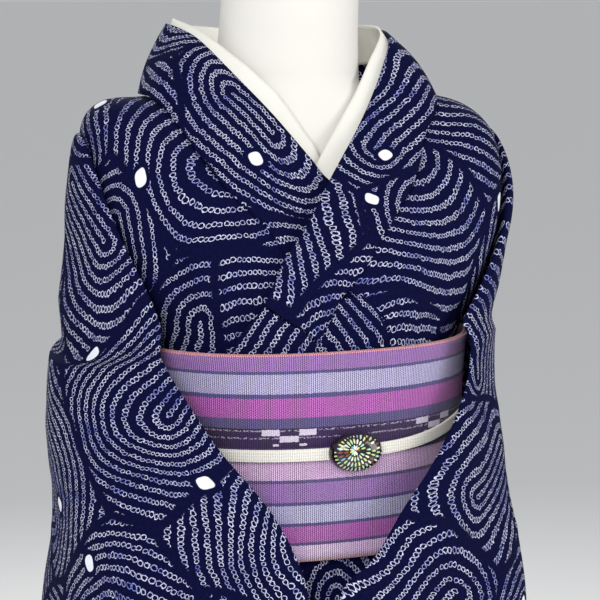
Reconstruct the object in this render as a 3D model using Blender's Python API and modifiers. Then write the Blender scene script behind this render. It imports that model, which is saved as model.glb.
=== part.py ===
"""A cotton yukata, dressed with its sash on a limbless dress form.

The front faces -Y, the wearer's left is +X and the floor is Z = 0. Every cloth piece is worked out on one
surface: point(angle, row, out) is at an angle round the body in degrees (0 front, 90 the wearer's left,
180 back), at a row of the BODY table and moved out along the surface by a distance in metres.
"""

import bpy
import bmesh
import numpy as np
from math import radians

# Driving sizes, in metres
HEM_HEIGHT = 0.060
FORM_TOP = 1.455
CLOTH = 0.0015
COLLAR_THICK = 0.0030
INNER_COLLAR_THICK = 0.0016
SASH_THICK = 0.0016
SASH_PITCH = 0.0026
SASH_TURNS = 2
CORD_WIDTH = 0.009
CORD_THICK = 0.0020
BROOCH_WIDTH = 0.043
BROOCH_HEIGHT = 0.031
BROOCH_DEPTH = 0.012
POLE_RADIUS = 0.0125
BASE_RADIUS = 0.165
BASE_THICK = 0.012
SEAM = 0.0004
POWER = 2.3  # of the superellipse: a little squarer than an ellipse

# How far each layer's middle lies out from the body surface
OUT_FORM_SHOULDER = -0.0018
OUT_FORM = -0.011
OUT_FORM_THROAT = -0.006  # further in, where both layers of the inner collar pass
OUT_SKIRT_UNDER = -0.0054
OUT_SKIRT = -0.0027
OUT_OVER = 0.0046
OUT_SASH = 0.0082
OUT_CORD = 0.0160
OUT_BROOCH = 0.0175
COLLAR_RISE = 0.0010  # a collar's middle over the cloth that it is sewn to
INNER_COLLAR_DROP = 0.0022  # the inner collar's middle below the collar's
INNER_COLLAR_DEEP = 0.0080  # how much deeper its right side lies, where the left one crosses it

# The dressed body, one row for each level: half width, depth in front, depth behind, height at the side,
# height in front, height behind
BODY = np.array([
    (0.078, 0.050, 0.070, 1.312, 1.268, 1.318),  # 0 root of the neck
    (0.115, 0.076, 0.086, 1.304, 1.240, 1.298),  # 1 collar seam
    (0.150, 0.096, 0.097, 1.293, 1.216, 1.271),  # 2
    (0.166, 0.107, 0.103, 1.270, 1.196, 1.240),  # 3 end of the shoulder
    (0.167, 0.113, 0.105, 1.225, 1.174, 1.202),  # 4
    (0.150, 0.115, 0.103, 1.165, 1.150, 1.162),  # 5 under the arm
    (0.129, 0.112, 0.098, 1.120, 1.120, 1.120),  # 6 top of the sash
    (0.123, 0.109, 0.096, 1.036, 1.036, 1.036),  # 7
    (0.124, 0.108, 0.098, 0.954, 0.954, 0.954),  # 8 foot of the sash
    (0.140, 0.120, 0.114, 0.892, 0.892, 0.892),  # 9 fold of the tuck
    (0.150, 0.126, 0.126, 0.830, 0.830, 0.830),  # 10 hip
    (0.154, 0.126, 0.128, 0.745, 0.745, 0.745),  # 11
    (0.154, 0.124, 0.126, 0.640, 0.640, 0.640),  # 12
    (0.153, 0.122, 0.124, 0.500, 0.500, 0.500),  # 13
    (0.145, 0.120, 0.122, 0.300, 0.300, 0.300),  # 14
    (0.136, 0.116, 0.120, HEM_HEIGHT, HEM_HEIGHT, HEM_HEIGHT),  # 15 hem
])

# Collar seam where it is sewn to the wearer's left front, from nape to tuck: angle, row
SEAM_LEFT = np.array([
    (180.0, 1.25), (135.0, 1.15), (108.0, 1.12), (84.0, 1.10), (62.0, 1.12), (41.5, 1.25),
    (15.0, 2.35), (1.0, 4.35), (-6.5, 5.94), (-16.0, 6.7), (-30.0, 7.8), (-38.0, 9.0),
])
# The same on the wearer's right front, which lies underneath
SEAM_RIGHT = np.array([
    (-180.0, 1.25), (-135.0, 1.15), (-108.0, 1.15), (-84.0, 1.20), (-62.0, 1.25), (-39.0, 1.68),
    (-20.0, 2.4), (-12.5, 3.35), (-3.0, 4.5), (8.0, 5.7), (18.0, 6.6), (30.0, 7.8), (38.0, 9.0),
])
# Free edge of the collar where it stands round the neck, from nape to throat: x, y, z
EDGE_LEFT_NECK = np.array([
    (0.0, 0.098, 1.348), (0.060, 0.086, 1.351), (0.089, 0.050, 1.354), (0.086, 0.008, 1.349),
    (0.069, -0.021, 1.327), (0.0412, -0.050, 1.290),
])
EDGE_RIGHT_NECK = np.array([
    (0.0, 0.098, 1.348), (-0.060, 0.086, 1.353), (-0.087, 0.050, 1.360), (-0.0785, 0.008, 1.351),
    (-0.0652, -0.022, 1.331), (-0.0431, -0.055, 1.300), (-0.0136, -0.070, 1.263),
])
# The same edge where it lies on the chest, down to the tuck: angle, row
EDGE_LEFT_CHEST = np.array([
    (1.2, 0.92), (-11.7, 3.27), (-20.4, 4.84), (-38.0, 6.2), (-57.0, 7.8), (-64.0, 9.0),
])
EDGE_RIGHT_CHEST = np.array([
    (1.1, 0.93), (13.0, 2.4), (27.0, 4.4), (41.0, 6.0), (57.0, 7.8), (64.0, 9.0),
])
OVER_COLLAR_END = 8.0  # station of both seams where the over-collar stops

# Okumi seam, from the chest down to the tuck: angle, row
OKUMI_LEFT = np.array([(1.0, 4.35), (13.0, 5.6), (17.0, 6.6), (20.0, 7.8), (22.0, 9.0)])
OKUMI_RIGHT = np.array([(-3.0, 4.5), (-13.0, 5.6), (-17.0, 6.6), (-20.0, 7.8), (-22.0, 9.0)])

# Outer edge of a body strip, from the tuck in front, round the armhole and down the back: angle, row
SIDE_EDGE = np.array([
    (89.8, 9.0), (89.8, 7.8), (89.8, 6.7), (89.6, 6.1), (88.5, 5.6), (84.0, 5.2), (80.0, 4.7),
    (78.5, 4.2), (80.0, 3.7), (84.0, 3.3), (91.5, 3.15), (99.0, 3.3), (103.5, 3.7), (105.0, 4.2),
    (103.0, 4.7), (98.0, 5.2), (91.8, 5.6), (90.4, 6.1), (90.2, 6.7), (90.2, 7.8), (90.2, 9.0),
])


def smooth(table, position):
    """Catmull-Rom through the rows of a table, read at fractional row numbers."""
    last = len(table) - 1
    position = np.clip(np.asarray(position, float), 0, last - 1e-9)
    i = position.astype(int)
    f = (position - i)[..., None]
    b, c = table[i], table[i + 1]
    a = np.where((i == 0)[..., None], 2 * b - c, table[np.maximum(i - 1, 0)])
    d = np.where((i == last - 1)[..., None], 2 * c - b, table[np.minimum(i + 2, last)])
    return 0.5 * (2 * b + (c - a) * f + (2 * a - 5 * b + 4 * c - d) * f**2 + (3 * b - a - 3 * c + d) * f**3)


def surface(angle, row):
    """The body surface: superellipse rings whose height changes from the side to the front and the back."""
    turn = np.radians(angle)
    half_width, front, back, z_side, z_front, z_back = np.moveaxis(smooth(BODY, row), -1, 0)
    c, s = np.cos(turn), np.sin(turn)
    depth = np.where(c > 0, front, back)
    z_end = np.where(c > 0, z_front, z_back)
    x = half_width * np.sign(s) * np.abs(s) ** (2 / POWER)
    y = -depth * np.sign(c) * np.abs(c) ** (2 / POWER)
    return np.stack([x, y, z_side + (z_end - z_side) * c**2], -1)


def point(angle, row, out=0.0):
    """A point on the body surface, moved out along its normal."""
    angle, row, out = (np.asarray(v, float) for v in np.broadcast_arrays(angle, row, out))
    row = np.clip(row, 0.03, len(BODY) - 1.03)
    across = surface(angle + 1.0, row) - surface(angle - 1.0, row)
    down = surface(angle, row + 0.03) - surface(angle, row - 0.03)
    normal = np.cross(down, across)
    normal /= np.linalg.norm(normal, axis=-1, keepdims=True)
    return surface(angle, row) + normal * out[..., None]


def over_lift(angle, row):
    """The wearer's left front lies over the right one and comes down to its own side seam and shoulder."""
    side = np.clip((84.0 - np.asarray(angle, float)) / 26.0, 0, 1)
    top = np.clip((np.asarray(row, float) - 1.1) / 0.9, 0.22, 1)
    return OUT_OVER * side**2 * (3 - 2 * side) * top


def shoulder_lift(angle, row):
    """The cloth stands a little proud on the wearer's right shoulder."""
    return 0.010 * np.exp(-(((angle + 92.0) / 30.0) ** 2) - ((row - 2.2) / 0.9) ** 2)


def side_lift(side, angle, row):
    return over_lift(angle, row) if side > 0 else shoulder_lift(angle, row)


def cloth_ripple(angle, row):
    """The largest soft folds of the bodice: a drag from the shoulder to the sash on each side."""
    left = np.exp(-(((angle - 52.0 + 4.0 * (row - 4.0)) / 9.0) ** 2) - ((row - 4.2) / 1.3) ** 2)
    right = np.exp(-(((angle + 60.0 - 3.0 * (row - 4.0)) / 9.0) ** 2) - ((row - 4.4) / 1.2) ** 2)
    return 0.0030 * (left + right)


def finish(name, colour, roughness, metallic=0.0):
    """One plain material for a part."""
    made = bpy.data.materials.new(name)
    made.use_nodes = True
    shader = made.node_tree.nodes["Principled BSDF"]
    shader.inputs["Base Color"].default_value = (*colour, 1.0)
    shader.inputs["Roughness"].default_value = roughness
    shader.inputs["Metallic"].default_value = metallic
    made.diffuse_color = (*colour, 1.0)
    return made


def keep(obj, material, parts):
    """Gives an object its material, smooth shading and place in the parts collection."""
    obj.data.materials.clear()
    obj.data.materials.append(material)
    for other in list(obj.users_collection):
        other.objects.unlink(obj)
    parts.objects.link(obj)
    obj.data.shade_smooth()
    obj.data.set_sharp_from_angle(angle=radians(45))
    return obj


def grid_mesh(name, points, closed=False, capped=False):
    """A mesh over a grid of points; closed joins its sides, capped fills both end rings."""
    rows, columns = points.shape[:2]
    index = np.arange(rows * columns).reshape(rows, columns)
    right = np.roll(index, -1, axis=1) if closed else index[:, 1:]
    here = index if closed else index[:, :-1]
    faces = np.stack([here[:-1], right[:-1], right[1:], here[1:]], -1).reshape(-1, 4).tolist()
    if capped:
        faces += [index[0, ::-1].tolist(), index[-1].tolist()]
    mesh = bpy.data.meshes.new(name)
    mesh.from_pydata(points.reshape(-1, 3).tolist(), [], faces)
    return mesh


def cloth(name, points, material, parts, thick=CLOTH, closed=False):
    """An open sheet of cloth over a grid of points, given its thickness with half on each side."""
    obj = bpy.data.objects.new(name, grid_mesh(name, points, closed))
    parts.objects.link(obj)
    wall = obj.modifiers.new("thickness", "SOLIDIFY")
    wall.thickness = thick
    wall.offset = 0.0
    return keep(obj, material, parts)


def along(line, steps):
    """Evenly spaced points along a dense line of (angle, row)."""
    t = np.linspace(0, len(line) - 1, steps)
    return np.stack([np.interp(t, np.arange(len(line)), line[:, i]) for i in (0, 1)], -1)


def between(inner, outer, rows, columns, inner_gap, outer_gap):
    """Angles and rows of a strip between two edges, held back from each by a gap in metres."""
    a, b = along(inner, rows), along(outer, rows)
    length = np.linalg.norm(surface(b[:, 0], b[:, 1]) - surface(a[:, 0], a[:, 1]), axis=-1)
    start, stop = inner_gap / length, 1 - outer_gap / length
    u = start[:, None] + (stop - start)[:, None] * np.linspace(0, 1, columns)
    both = a[:, None] + (b - a)[:, None] * u[..., None]
    return both[..., 0], both[..., 1]


EDGE_STEPS = (16, 32, 28)  # points up the okumi seam, along the collar seam and down the back


def front_edge(side):
    """Inner edge of a body strip: up the okumi seam, along the collar seam to the nape and down the back."""
    seam, okumi, top = (SEAM_LEFT, OKUMI_LEFT, 7) if side > 0 else (SEAM_RIGHT, OKUMI_RIGHT, 8)
    up = smooth(okumi, np.linspace(4, 0, EDGE_STEPS[0], endpoint=False))
    over = smooth(seam, np.linspace(top, 0, EDGE_STEPS[1], endpoint=False))
    down = np.linspace((180.0 * side, seam[0, 1]), (180.0 * side, 9.0), EDGE_STEPS[2])
    return np.concatenate([up, over, down])


def body_strips(indigo, parts):
    """Each body strip is one length of cloth, up the front, over the shoulder and down the back."""
    for name, side in (("body_left", 1), ("body_right", -1)):
        outer = smooth(SIDE_EDGE * (side, 1), np.linspace(0, len(SIDE_EDGE) - 1, sum(EDGE_STEPS)))
        angle, row = between(front_edge(side), outer, 39, 9, 0.0004, 0.0002)
        out = side_lift(side, angle, row) + cloth_ripple(angle, row)
        cloth(name, point(angle, row, out), indigo, parts)


def gores(indigo, parts):
    """The okumi, a long gore between each collar and front, which gives the wrap its overlap."""
    for name, side, seam, top in (("gore_left", 1, SEAM_LEFT, 7), ("gore_right", -1, SEAM_RIGHT, 8)):
        on_seam = smooth(seam, np.linspace(len(seam) - 1, top + 0.20, 25))
        on_okumi = smooth(OKUMI_LEFT if side > 0 else OKUMI_RIGHT, np.linspace(4, 0.20, 25))
        angle, row = between(on_seam, on_okumi, 13, 5, 0.0005, 0.0015)
        cloth(name, point(angle, row, side_lift(side, angle, row) + cloth_ripple(angle, row)), indigo, parts)


SKIRT_TOP, SKIRT_FOOT = 8.35, 14.97  # rows: from under the sash to the hem
WRAP_EDGE = -52.0  # angle of the wearer's left front edge, which lies on top
WRAP_SEAM = -22.0  # its okumi seam
UNDER_EDGE = 50.0  # angle of the wearer's right front edge, which lies underneath
UNDER_SEAM = 20.0


def skirt_flute(angle, row):
    """Soft vertical folds that open towards the hem."""
    depth = np.clip((row - 9.5) / 5.0, 0, 1)
    wide = 0.0045 * np.sin(np.radians(angle * 5.0 + 30.0))
    return depth * (wide + 0.002 * np.sin(np.radians(angle * 9.0)))


def skirt(indigo, parts):
    """The strips go on below the tuck: two backs, and on each side a front with its okumi gore."""
    gap = 0.11  # degrees at each seam
    panels = (
        ("skirt_back_left", 90.0 + gap, 180.0 - gap, OUT_SKIRT, OUT_SKIRT, 12),
        ("skirt_back_right", -180.0 + gap, -90.0 - gap, OUT_SKIRT, OUT_SKIRT, 12),
        ("skirt_front_left", WRAP_SEAM + gap, 90.0 - gap, OUT_SKIRT, OUT_SKIRT, 15),
        ("skirt_gore_left", WRAP_EDGE, WRAP_SEAM - gap, OUT_SKIRT, OUT_SKIRT, 5),
        ("skirt_front_right", -90.0 + gap, UNDER_SEAM - gap, OUT_SKIRT, OUT_SKIRT_UNDER, 15),
        ("skirt_gore_right", UNDER_SEAM + gap, UNDER_EDGE, OUT_SKIRT_UNDER, OUT_SKIRT_UNDER, 5),
    )
    for name, start, stop, out_start, out_stop, columns in panels:
        down, round_body = np.linspace(SKIRT_TOP, SKIRT_FOOT, 11), np.linspace(start, stop, columns)
        row, angle = np.meshgrid(down, round_body, indexing="ij")
        change = np.clip((angle + 84.0) / 22.0, 0, 1)
        out = out_start + (out_stop - out_start) * change**2 * (3 - 2 * change)
        cloth(name, point(angle, row, out + skirt_flute(angle, row)), indigo, parts)


def collar_sheet(side, t, w, lifted=True):
    """The collar's base from its seam (w = 0) to its free edge (w = 1) at stations t: straight across round
    the neck, and lying on the chest below the throat."""
    left = side > 0
    seam = SEAM_LEFT if left else SEAM_RIGHT
    neck = EDGE_LEFT_NECK if left else EDGE_RIGHT_NECK
    chest = EDGE_LEFT_CHEST if left else EDGE_RIGHT_CHEST
    edge_lift = OUT_OVER if left and lifted else 0.0
    on_seam = smooth(seam, t)
    seam_lift = side_lift(side, on_seam[:, 0], on_seam[:, 1]) if lifted else 0.0 * t
    low = point(on_seam[:, 0], on_seam[:, 1], seam_lift)
    edge = np.concatenate([neck, point(chest[:, 0], chest[:, 1], edge_lift)])
    high = smooth(edge, t)
    straight = low[:, None] + (high - low)[:, None] * w[..., None]
    on_chest = smooth(chest, t - len(neck))
    both = on_seam[:, None] + (on_chest - on_seam)[:, None] * w[..., None]
    lift = seam_lift[:, None] + (edge_lift - seam_lift)[:, None] * w
    lying = point(both[..., 0], both[..., 1], lift)
    chest_share = np.clip(t - len(neck), 0, 1)[:, None, None]
    return straight + (lying - straight) * chest_share


def raised(side, sheet, rise):
    """A collar sheet moved out from the body by a distance."""
    normal = np.cross(np.gradient(sheet, axis=1), np.gradient(sheet, axis=0)) * side
    normal /= np.linalg.norm(normal, axis=-1, keepdims=True)
    return sheet + normal * rise[..., None]


def collar_band(side, first, last, lengthwise, across):
    """The folded collar between two stations of its seam, full round the neck and flat on the chest."""
    t = np.linspace(first, last, lengthwise)
    start = np.interp(t, [5.0, 6.5], [0.0023, 0.0005]) / 0.058
    w = start[:, None] + (1 - start)[:, None] * np.linspace(0, 1, across)
    full = 0.004 * np.sin(np.pi * w) * np.clip(1.5 - abs(t[:, None] - 3.4) / 2.4, 0, 1)
    crossing = 0.003 * np.exp(-(((t[:, None] - 6.3) / 1.0) ** 2)) * w if side > 0 else 0.0
    return raised(side, collar_sheet(side, t, w), COLLAR_RISE + full + crossing)


def inner_band(side, lengthwise, across):
    """The inner collar follows the collar from inside and shows past its free edge, more in front."""
    t = np.linspace(0, 6.0 if side > 0 else 6.8, lengthwise)
    show = np.interp(t, [0, 2, 3, 4, 5], [0.10, 0.10, 0.12, 0.20, 0.26])
    w = np.linspace(0.45, 1.0, across)[None, :] * (1 + show[:, None])
    deep = INNER_COLLAR_DEEP if side < 0 else 0.0
    under = np.interp(t, [4.3, 5.8], [0.0, deep])[:, None]
    return raised(side, collar_sheet(side, t, w, lifted=False), -INNER_COLLAR_DROP - under + 0 * w)


def nape_to_nape(right, left):
    """Joins the strip of the wearer's right side to that of the left at the nape."""
    return np.concatenate([right[::-1], left[1:]])


def collars(indigo, white, parts):
    """The over-collar round the neck, the collar's ends below it, and the white inner collar."""
    right = collar_band(-1, 0, OVER_COLLAR_END, 29, 5)
    left = collar_band(1, 0, OVER_COLLAR_END, 29, 5)
    cloth("over_collar", nape_to_nape(right, left), indigo, parts, COLLAR_THICK)
    for name, side, seam in (("collar_left", 1, SEAM_LEFT), ("collar_right", -1, SEAM_RIGHT)):
        end = collar_band(side, OVER_COLLAR_END + 0.03, len(seam) - 1, 12, 5)
        cloth(name, end, indigo, parts, COLLAR_THICK)
    inner = nape_to_nape(inner_band(-1, 25, 4), inner_band(1, 25, 4))
    cloth("inner_collar", inner, white, parts, INNER_COLLAR_THICK)


# How far a sleeve stands out to clear the sash, its cord and the tuck: row, inner wall, outer wall
CLEARANCE = np.array([
    (0.0, 0.0, 0.0), (4.40, 0.0, 0.0), (5.20, 0.0, 0.006), (5.55, 0.0, 0.011), (5.90, 0.0172, 0.0172),
    (6.6, 0.0185, 0.0185), (6.8, 0.0205, 0.0205), (7.15, 0.0205, 0.0205), (7.4, 0.0185, 0.0185),
    (8.1, 0.0170, 0.0170), (9.0, 0.0090, 0.0090), (10.0, 0.0060, 0.0060), (15.0, 0.0060, 0.0060),
])
# Sleeve rings from the armhole to the cuff: front and back fold angles, row at the middle, how much lower
# the inner wall lies, how much higher the front fold lies, depth from inner to outer wall
SLEEVE_LEFT = np.array([
    (73.0, 111.0, 4.28, 1.46, 0.00, 0.000),
    (60.0, 114.0, 4.45, 1.50, 0.00, 0.004),
    (46.0, 117.0, 5.00, 1.35, 0.00, 0.009),
    (40.0, 120.0, 5.60, 1.05, 0.00, 0.011),
    (41.0, 122.0, 6.10, 0.75, 0.00, 0.013),
    (38.0, 124.0, 6.60, 0.45, 0.10, 0.014),
    (26.5, 125.0, 7.05, 0.20, 0.15, 0.017),
    (13.0, 126.0, 7.60, 0.05, 0.20, 0.026),
    (4.5, 126.0, 8.15, 0.00, 0.30, 0.033),
    (-3.5, 126.0, 8.80, 0.00, 0.50, 0.035),
    (-4.5, 125.0, 9.50, 0.00, 0.75, 0.035),
    (-4.0, 124.0, 10.15, 0.00, 1.05, 0.033),
    (-1.0, 122.0, 10.70, 0.00, 1.30, 0.029),
])
SLEEVE_RIGHT = np.array([
    (73.0, 111.0, 4.28, 1.46, 0.00, 0.000),
    (66.0, 114.0, 4.45, 1.50, 0.00, 0.004),
    (58.0, 117.0, 5.00, 1.35, 0.00, 0.010),
    (57.0, 120.0, 5.60, 1.05, 0.00, 0.024),
    (52.0, 122.0, 6.10, 0.75, 0.00, 0.042),
    (42.0, 124.0, 6.60, 0.45, 0.05, 0.054),
    (34.5, 125.0, 7.00, 0.20, 0.15, 0.060),
    (23.5, 126.0, 7.50, 0.05, 0.20, 0.061),
    (17.0, 126.0, 8.05, 0.00, 0.30, 0.062),
    (13.5, 126.0, 8.75, 0.00, 0.50, 0.060),
    (13.0, 125.0, 9.50, 0.00, 0.75, 0.056),
    (13.0, 124.0, 10.15, 0.00, 1.05, 0.050),
    (16.0, 122.0, 10.70, 0.00, 1.30, 0.042),
])
SLEEVE_OFF = 0.0021  # a sleeve's middle off the cloth that its armhole lies on


def sleeve_points(side, lengthwise, around):
    """A sleeve is a flattened tube: rings from the armhole down, each a loop round a middle line that
    follows the body from its front fold to its back fold."""
    table = SLEEVE_LEFT if side > 0 else SLEEVE_RIGHT
    k = np.linspace(0, len(table) - 1, lengthwise)[:, None]
    turn = 2 * np.pi * np.arange(around)[None, :] / around
    front, back, row, drop, slant, depth = np.moveaxis(smooth(table, k[:, 0])[:, None], -1, 0)
    share = np.arcsin(0.96 * np.sin(turn)) / np.arcsin(0.96)
    angle = (front + back) / 2 - (back - front) / 2 * share
    row = row + drop * np.cos(turn) - slant * share
    outer = (1 - np.cos(turn)) / 2
    sharp, gentle = (np.interp(row, CLEARANCE[:, 0], CLEARANCE[:, column]) for column in (1, 2))
    clear = (sharp + (gentle - sharp) * outer) * np.clip(k / 0.6, 0, 1)
    roll = 0.001 * np.sin(np.pi * outer) * np.clip(k / 4, 0, 1)
    folds = 0.0032 * np.sin(np.radians(angle) * 7.0 + 0.8 * k) * outer * np.clip((k - 2) / 3, 0, 1)
    angle = side * angle
    lift = side_lift(side, angle, row) + cloth_ripple(angle, row) * np.clip(1 - k / 4, 0, 1)
    return point(angle, row, SLEEVE_OFF + lift + clear + np.maximum(depth, 0.0) * outer + folds + roll)


def sleeves(indigo, parts):
    for name, side in (("sleeve_left", 1), ("sleeve_right", -1)):
        cloth(name, sleeve_points(side, 20, 22), indigo, parts, closed=True)


SASH_TOP, SASH_FOOT = 6.02, 7.98  # rows


def sash(weave, parts):
    """The sash is one band wound twice, from the back and round to the back again."""
    turn = np.linspace(0, 360.0 * SASH_TURNS, 36 * SASH_TURNS + 1)
    row, turn = np.meshgrid(np.linspace(SASH_TOP, SASH_FOOT, 3), turn, indexing="ij")
    out = OUT_SASH + SASH_PITCH * turn / 360.0
    cloth("sash", point(180.0 + turn, row, out), weave, parts, SASH_THICK)


BOW_CENTRE_Z = 1.052
BOW_BACK = 0.1135  # just behind the cord where it passes under the bow
KNOT_HALF_WIDTH, KNOT_HALF_HEIGHT, KNOT_DEPTH = 0.030, 0.046, 0.026
# A bow loop from the knot to its tip: distance from the middle, half height, half depth, drop and
# distance behind the sash
LOOP = np.array([
    (0.0003, 0.020, 0.0097, 0.000, 0.0130),
    (0.020, 0.021, 0.0097, 0.000, 0.0130),
    (0.034, 0.028, 0.0090, 0.002, 0.0140),
    (0.055, 0.056, 0.0150, 0.006, 0.0200),
    (0.085, 0.070, 0.0200, 0.015, 0.0235),
    (0.115, 0.075, 0.0190, 0.026, 0.0225),
    (0.138, 0.077, 0.0110, 0.036, 0.0170),
    (0.146, 0.077, 0.0028, 0.040, 0.0130),
])


def bow_loop(side, lengthwise, upright):
    """Half of the bow: the band runs out from the knot, turns at the tip and comes back before itself."""
    x, half_height, half_depth, drop, behind = smooth(LOOP, np.linspace(0, len(LOOP) - 1, lengthwise)).T
    u = np.linspace(-1, 1, upright)
    near_knot = np.exp(-((x / 0.07) ** 2)) * np.clip((x - 0.034) / 0.02, 0, 1)
    pleat = 0.0020 * np.cos(u * 3 * np.pi) * near_knot[:, None]
    z = BOW_CENTRE_Z - drop[:, None] + half_height[:, None] * u
    sheets = []
    for face in (1, -1):
        y = BOW_BACK + (behind + face * half_depth)[:, None] + pleat
        sheets.append(np.stack([side * (x[:, None] + 0 * u), y, z], -1))
    return np.concatenate([sheets[0], sheets[1][::-1][1:]])


def bow(weave, parts):
    for name, side in (("bow_left", 1), ("bow_right", -1)):
        cloth(name, bow_loop(side, 12, 5), weave, parts, SASH_THICK)
    turn = 2 * np.pi * np.arange(20) / 20
    c, s = (np.sign(v) * np.abs(v) ** 0.6 for v in (np.cos(turn), np.sin(turn)))
    x = np.linspace(-KNOT_HALF_WIDTH, KNOT_HALF_WIDTH, 5)[:, None]
    pinch = 1 - 0.10 * np.cos(x / KNOT_HALF_WIDTH * np.pi / 2)
    y = BOW_BACK + KNOT_DEPTH / 2 + (KNOT_DEPTH / 2 - 0.0008) * s + 0 * x
    z = BOW_CENTRE_Z + KNOT_HALF_HEIGHT * c * pinch
    cloth("bow_knot", np.stack([x + 0 * turn, y, z], -1), weave, parts, SASH_THICK, closed=True)


def cord(cream, parts):
    """The flat cord round the sash's middle, a closed band a little higher at the wearer's left side."""
    angle = np.arange(60) * 6.0
    rise = 0.16 * np.exp(-(((angle - 62.0) / 30.0) ** 2))
    row = 6.94 - rise + np.array([[-0.5], [0.5]]) * CORD_WIDTH / 0.0810
    cloth("cord", point(angle[None] + 0 * row, row, OUT_CORD), cream, parts, CORD_THICK, closed=True)


def face_outwards(obj):
    """Turns every face of a closed body outwards."""
    shape = bmesh.new()
    shape.from_mesh(obj.data)
    bmesh.ops.recalc_face_normals(shape, faces=shape.faces[:])
    shape.to_mesh(obj.data)
    shape.free()


def capped_body(name, rings, material, parts):
    """A closed body through a list of rings, with both end rings filled."""
    obj = bpy.data.objects.new(name, grid_mesh(name, np.stack(rings), closed=True, capped=True))
    parts.objects.link(obj)
    face_outwards(obj)
    return keep(obj, material, parts)


def brooch(black, parts):
    """An oval dome with a flat back, threaded on the cord in front."""
    centre = point(0.0, 6.93, OUT_BROOCH) + (0.0055, 0.0, 0.0)
    turn = 2 * np.pi * np.arange(32) / 32
    rings = []
    for lift, share in ((0.0, 0.985), (0.1, 1.0), (0.32, 0.97), (0.58, 0.87), (0.82, 0.66), (1.0, 0.34)):
        x, z = BROOCH_WIDTH / 2 * share * np.cos(turn), BROOCH_HEIGHT / 2 * share * np.sin(turn)
        rings.append(centre + np.stack([x, -BROOCH_DEPTH * lift + 0 * turn, z], -1))
    capped_body("brooch", rings, black, parts)


# Neck of the dress form from the top down: half width, half depth, distance behind the axis, height
NECK = np.array([
    (0.0460, 0.0480, 0.000, FORM_TOP), (0.0530, 0.0535, 0.000, FORM_TOP - 0.006),
    (0.0545, 0.0545, 0.001, FORM_TOP - 0.018), (0.0545, 0.0545, 0.004, 1.385),
    (0.0560, 0.0545, 0.009, 1.350),
    (0.0590, 0.0560, 0.014, 1.316),
])
FORM_ROWS = (0.5, 1.0, 1.5, 2.0, 2.5, 3.0, 3.6, 4.2, 5.0, 5.8, 6.7, 7.6, 8.4, 9.2, 10.25, 10.45)


def form_torso(linen, parts):
    """A limbless torso, from the top of the neck to below the hips, closed above and below."""
    angle = np.arange(40) * 9.0
    turn = np.radians(angle)
    rings = []
    for half_width, half_depth, back, z in NECK:
        x, y = half_width * np.sin(turn), back - half_depth * np.cos(turn)
        rings.append(np.stack([x, y, z + 0 * turn], -1))
    near_side = np.exp(-(((np.abs(angle - 180.0) - 90.0) / 42.0) ** 2))
    near_front = np.exp(-(((180.0 - np.abs(angle - 180.0)) / 45.0) ** 2))
    for row in FORM_ROWS:
        shoulder = near_side * np.clip((row - 0.9) / 0.6, 0, 1) * np.clip((4.6 - row) / 0.8, 0, 1)
        throat = near_front * np.clip((3.6 - row) / 1.2, 0, 1)
        sunk = OUT_FORM_THROAT * np.maximum(throat, np.clip(1.4 - row, 0, 1))
        out = OUT_FORM + (OUT_FORM_SHOULDER - OUT_FORM) * shoulder + sunk
        rings.append(point(angle, row, out if row < FORM_ROWS[-1] else out - 0.012))
    rings[-1][:, 2] = rings[-1][:, 2].min()
    capped_body("form_torso", rings, linen, parts)
    return rings[-1][:, 2].min()


def turned(name, profile, material, parts, steps=48):
    """A solid turned about the Z axis from a profile of (radius, height) whose ends lie on the axis."""
    mesh = bpy.data.meshes.new(name)
    verts = [(r, 0.0, z) for r, z in profile]
    mesh.from_pydata(verts, [(i, i + 1) for i in range(len(verts) - 1)], [])
    obj = bpy.data.objects.new(name, mesh)
    parts.objects.link(obj)
    screw = obj.modifiers.new("turn", "SCREW")
    screw.axis = "Z"
    screw.steps = steps
    screw.render_steps = steps
    screw.use_merge_vertices = True
    screw.merge_threshold = 0.00005
    screw.use_normal_calculate = True
    return keep(obj, material, parts)


def stand(steel, foot, parts):
    """The form's pole with its cap under the torso, and the round base it stands on."""
    top, socket = foot - SEAM, BASE_THICK + 0.010
    turned("pole", [
        (0.0, top), (0.038, top), (0.040, top - 0.002), (0.040, top - 0.006), (0.016, top - 0.012),
        (POLE_RADIUS, top - 0.020), (POLE_RADIUS, socket + SEAM), (0.0, socket + SEAM),
    ], steel, parts, 32)
    turned("base", [
        (0.0, socket), (0.024, socket), (0.026, socket - 0.002), (0.028, BASE_THICK + 0.001),
        (BASE_RADIUS - 0.004, BASE_THICK), (BASE_RADIUS, BASE_THICK - 0.004), (BASE_RADIUS, 0.002),
        (BASE_RADIUS - 0.002, 0.0), (0.0, 0.0),
    ], steel, parts)


def build():
    for obj in list(bpy.data.objects):
        bpy.data.objects.remove(obj, do_unlink=True)
    parts = bpy.data.collections.new("yukata_on_dress_form")
    bpy.context.scene.collection.children.link(parts)
    indigo = finish("indigo cotton", (0.012, 0.012, 0.050), 0.85)
    white = finish("white collar cotton", (0.82, 0.82, 0.80), 0.80)
    weave = finish("sash weave", (0.42, 0.20, 0.34), 0.75)
    cream = finish("cream silk cord", (0.72, 0.66, 0.52), 0.60)
    black = finish("black lacquer", (0.010, 0.008, 0.012), 0.15)
    linen = finish("form linen", (0.70, 0.66, 0.58), 0.90)
    steel = finish("satin steel", (0.45, 0.45, 0.46), 0.35, 1.0)
    body_strips(indigo, parts)
    gores(indigo, parts)
    skirt(indigo, parts)
    collars(indigo, white, parts)
    sleeves(indigo, parts)
    sash(weave, parts)
    bow(weave, parts)
    cord(cream, parts)
    brooch(black, parts)
    stand(steel, form_torso(linen, parts), parts)


build()
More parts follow.
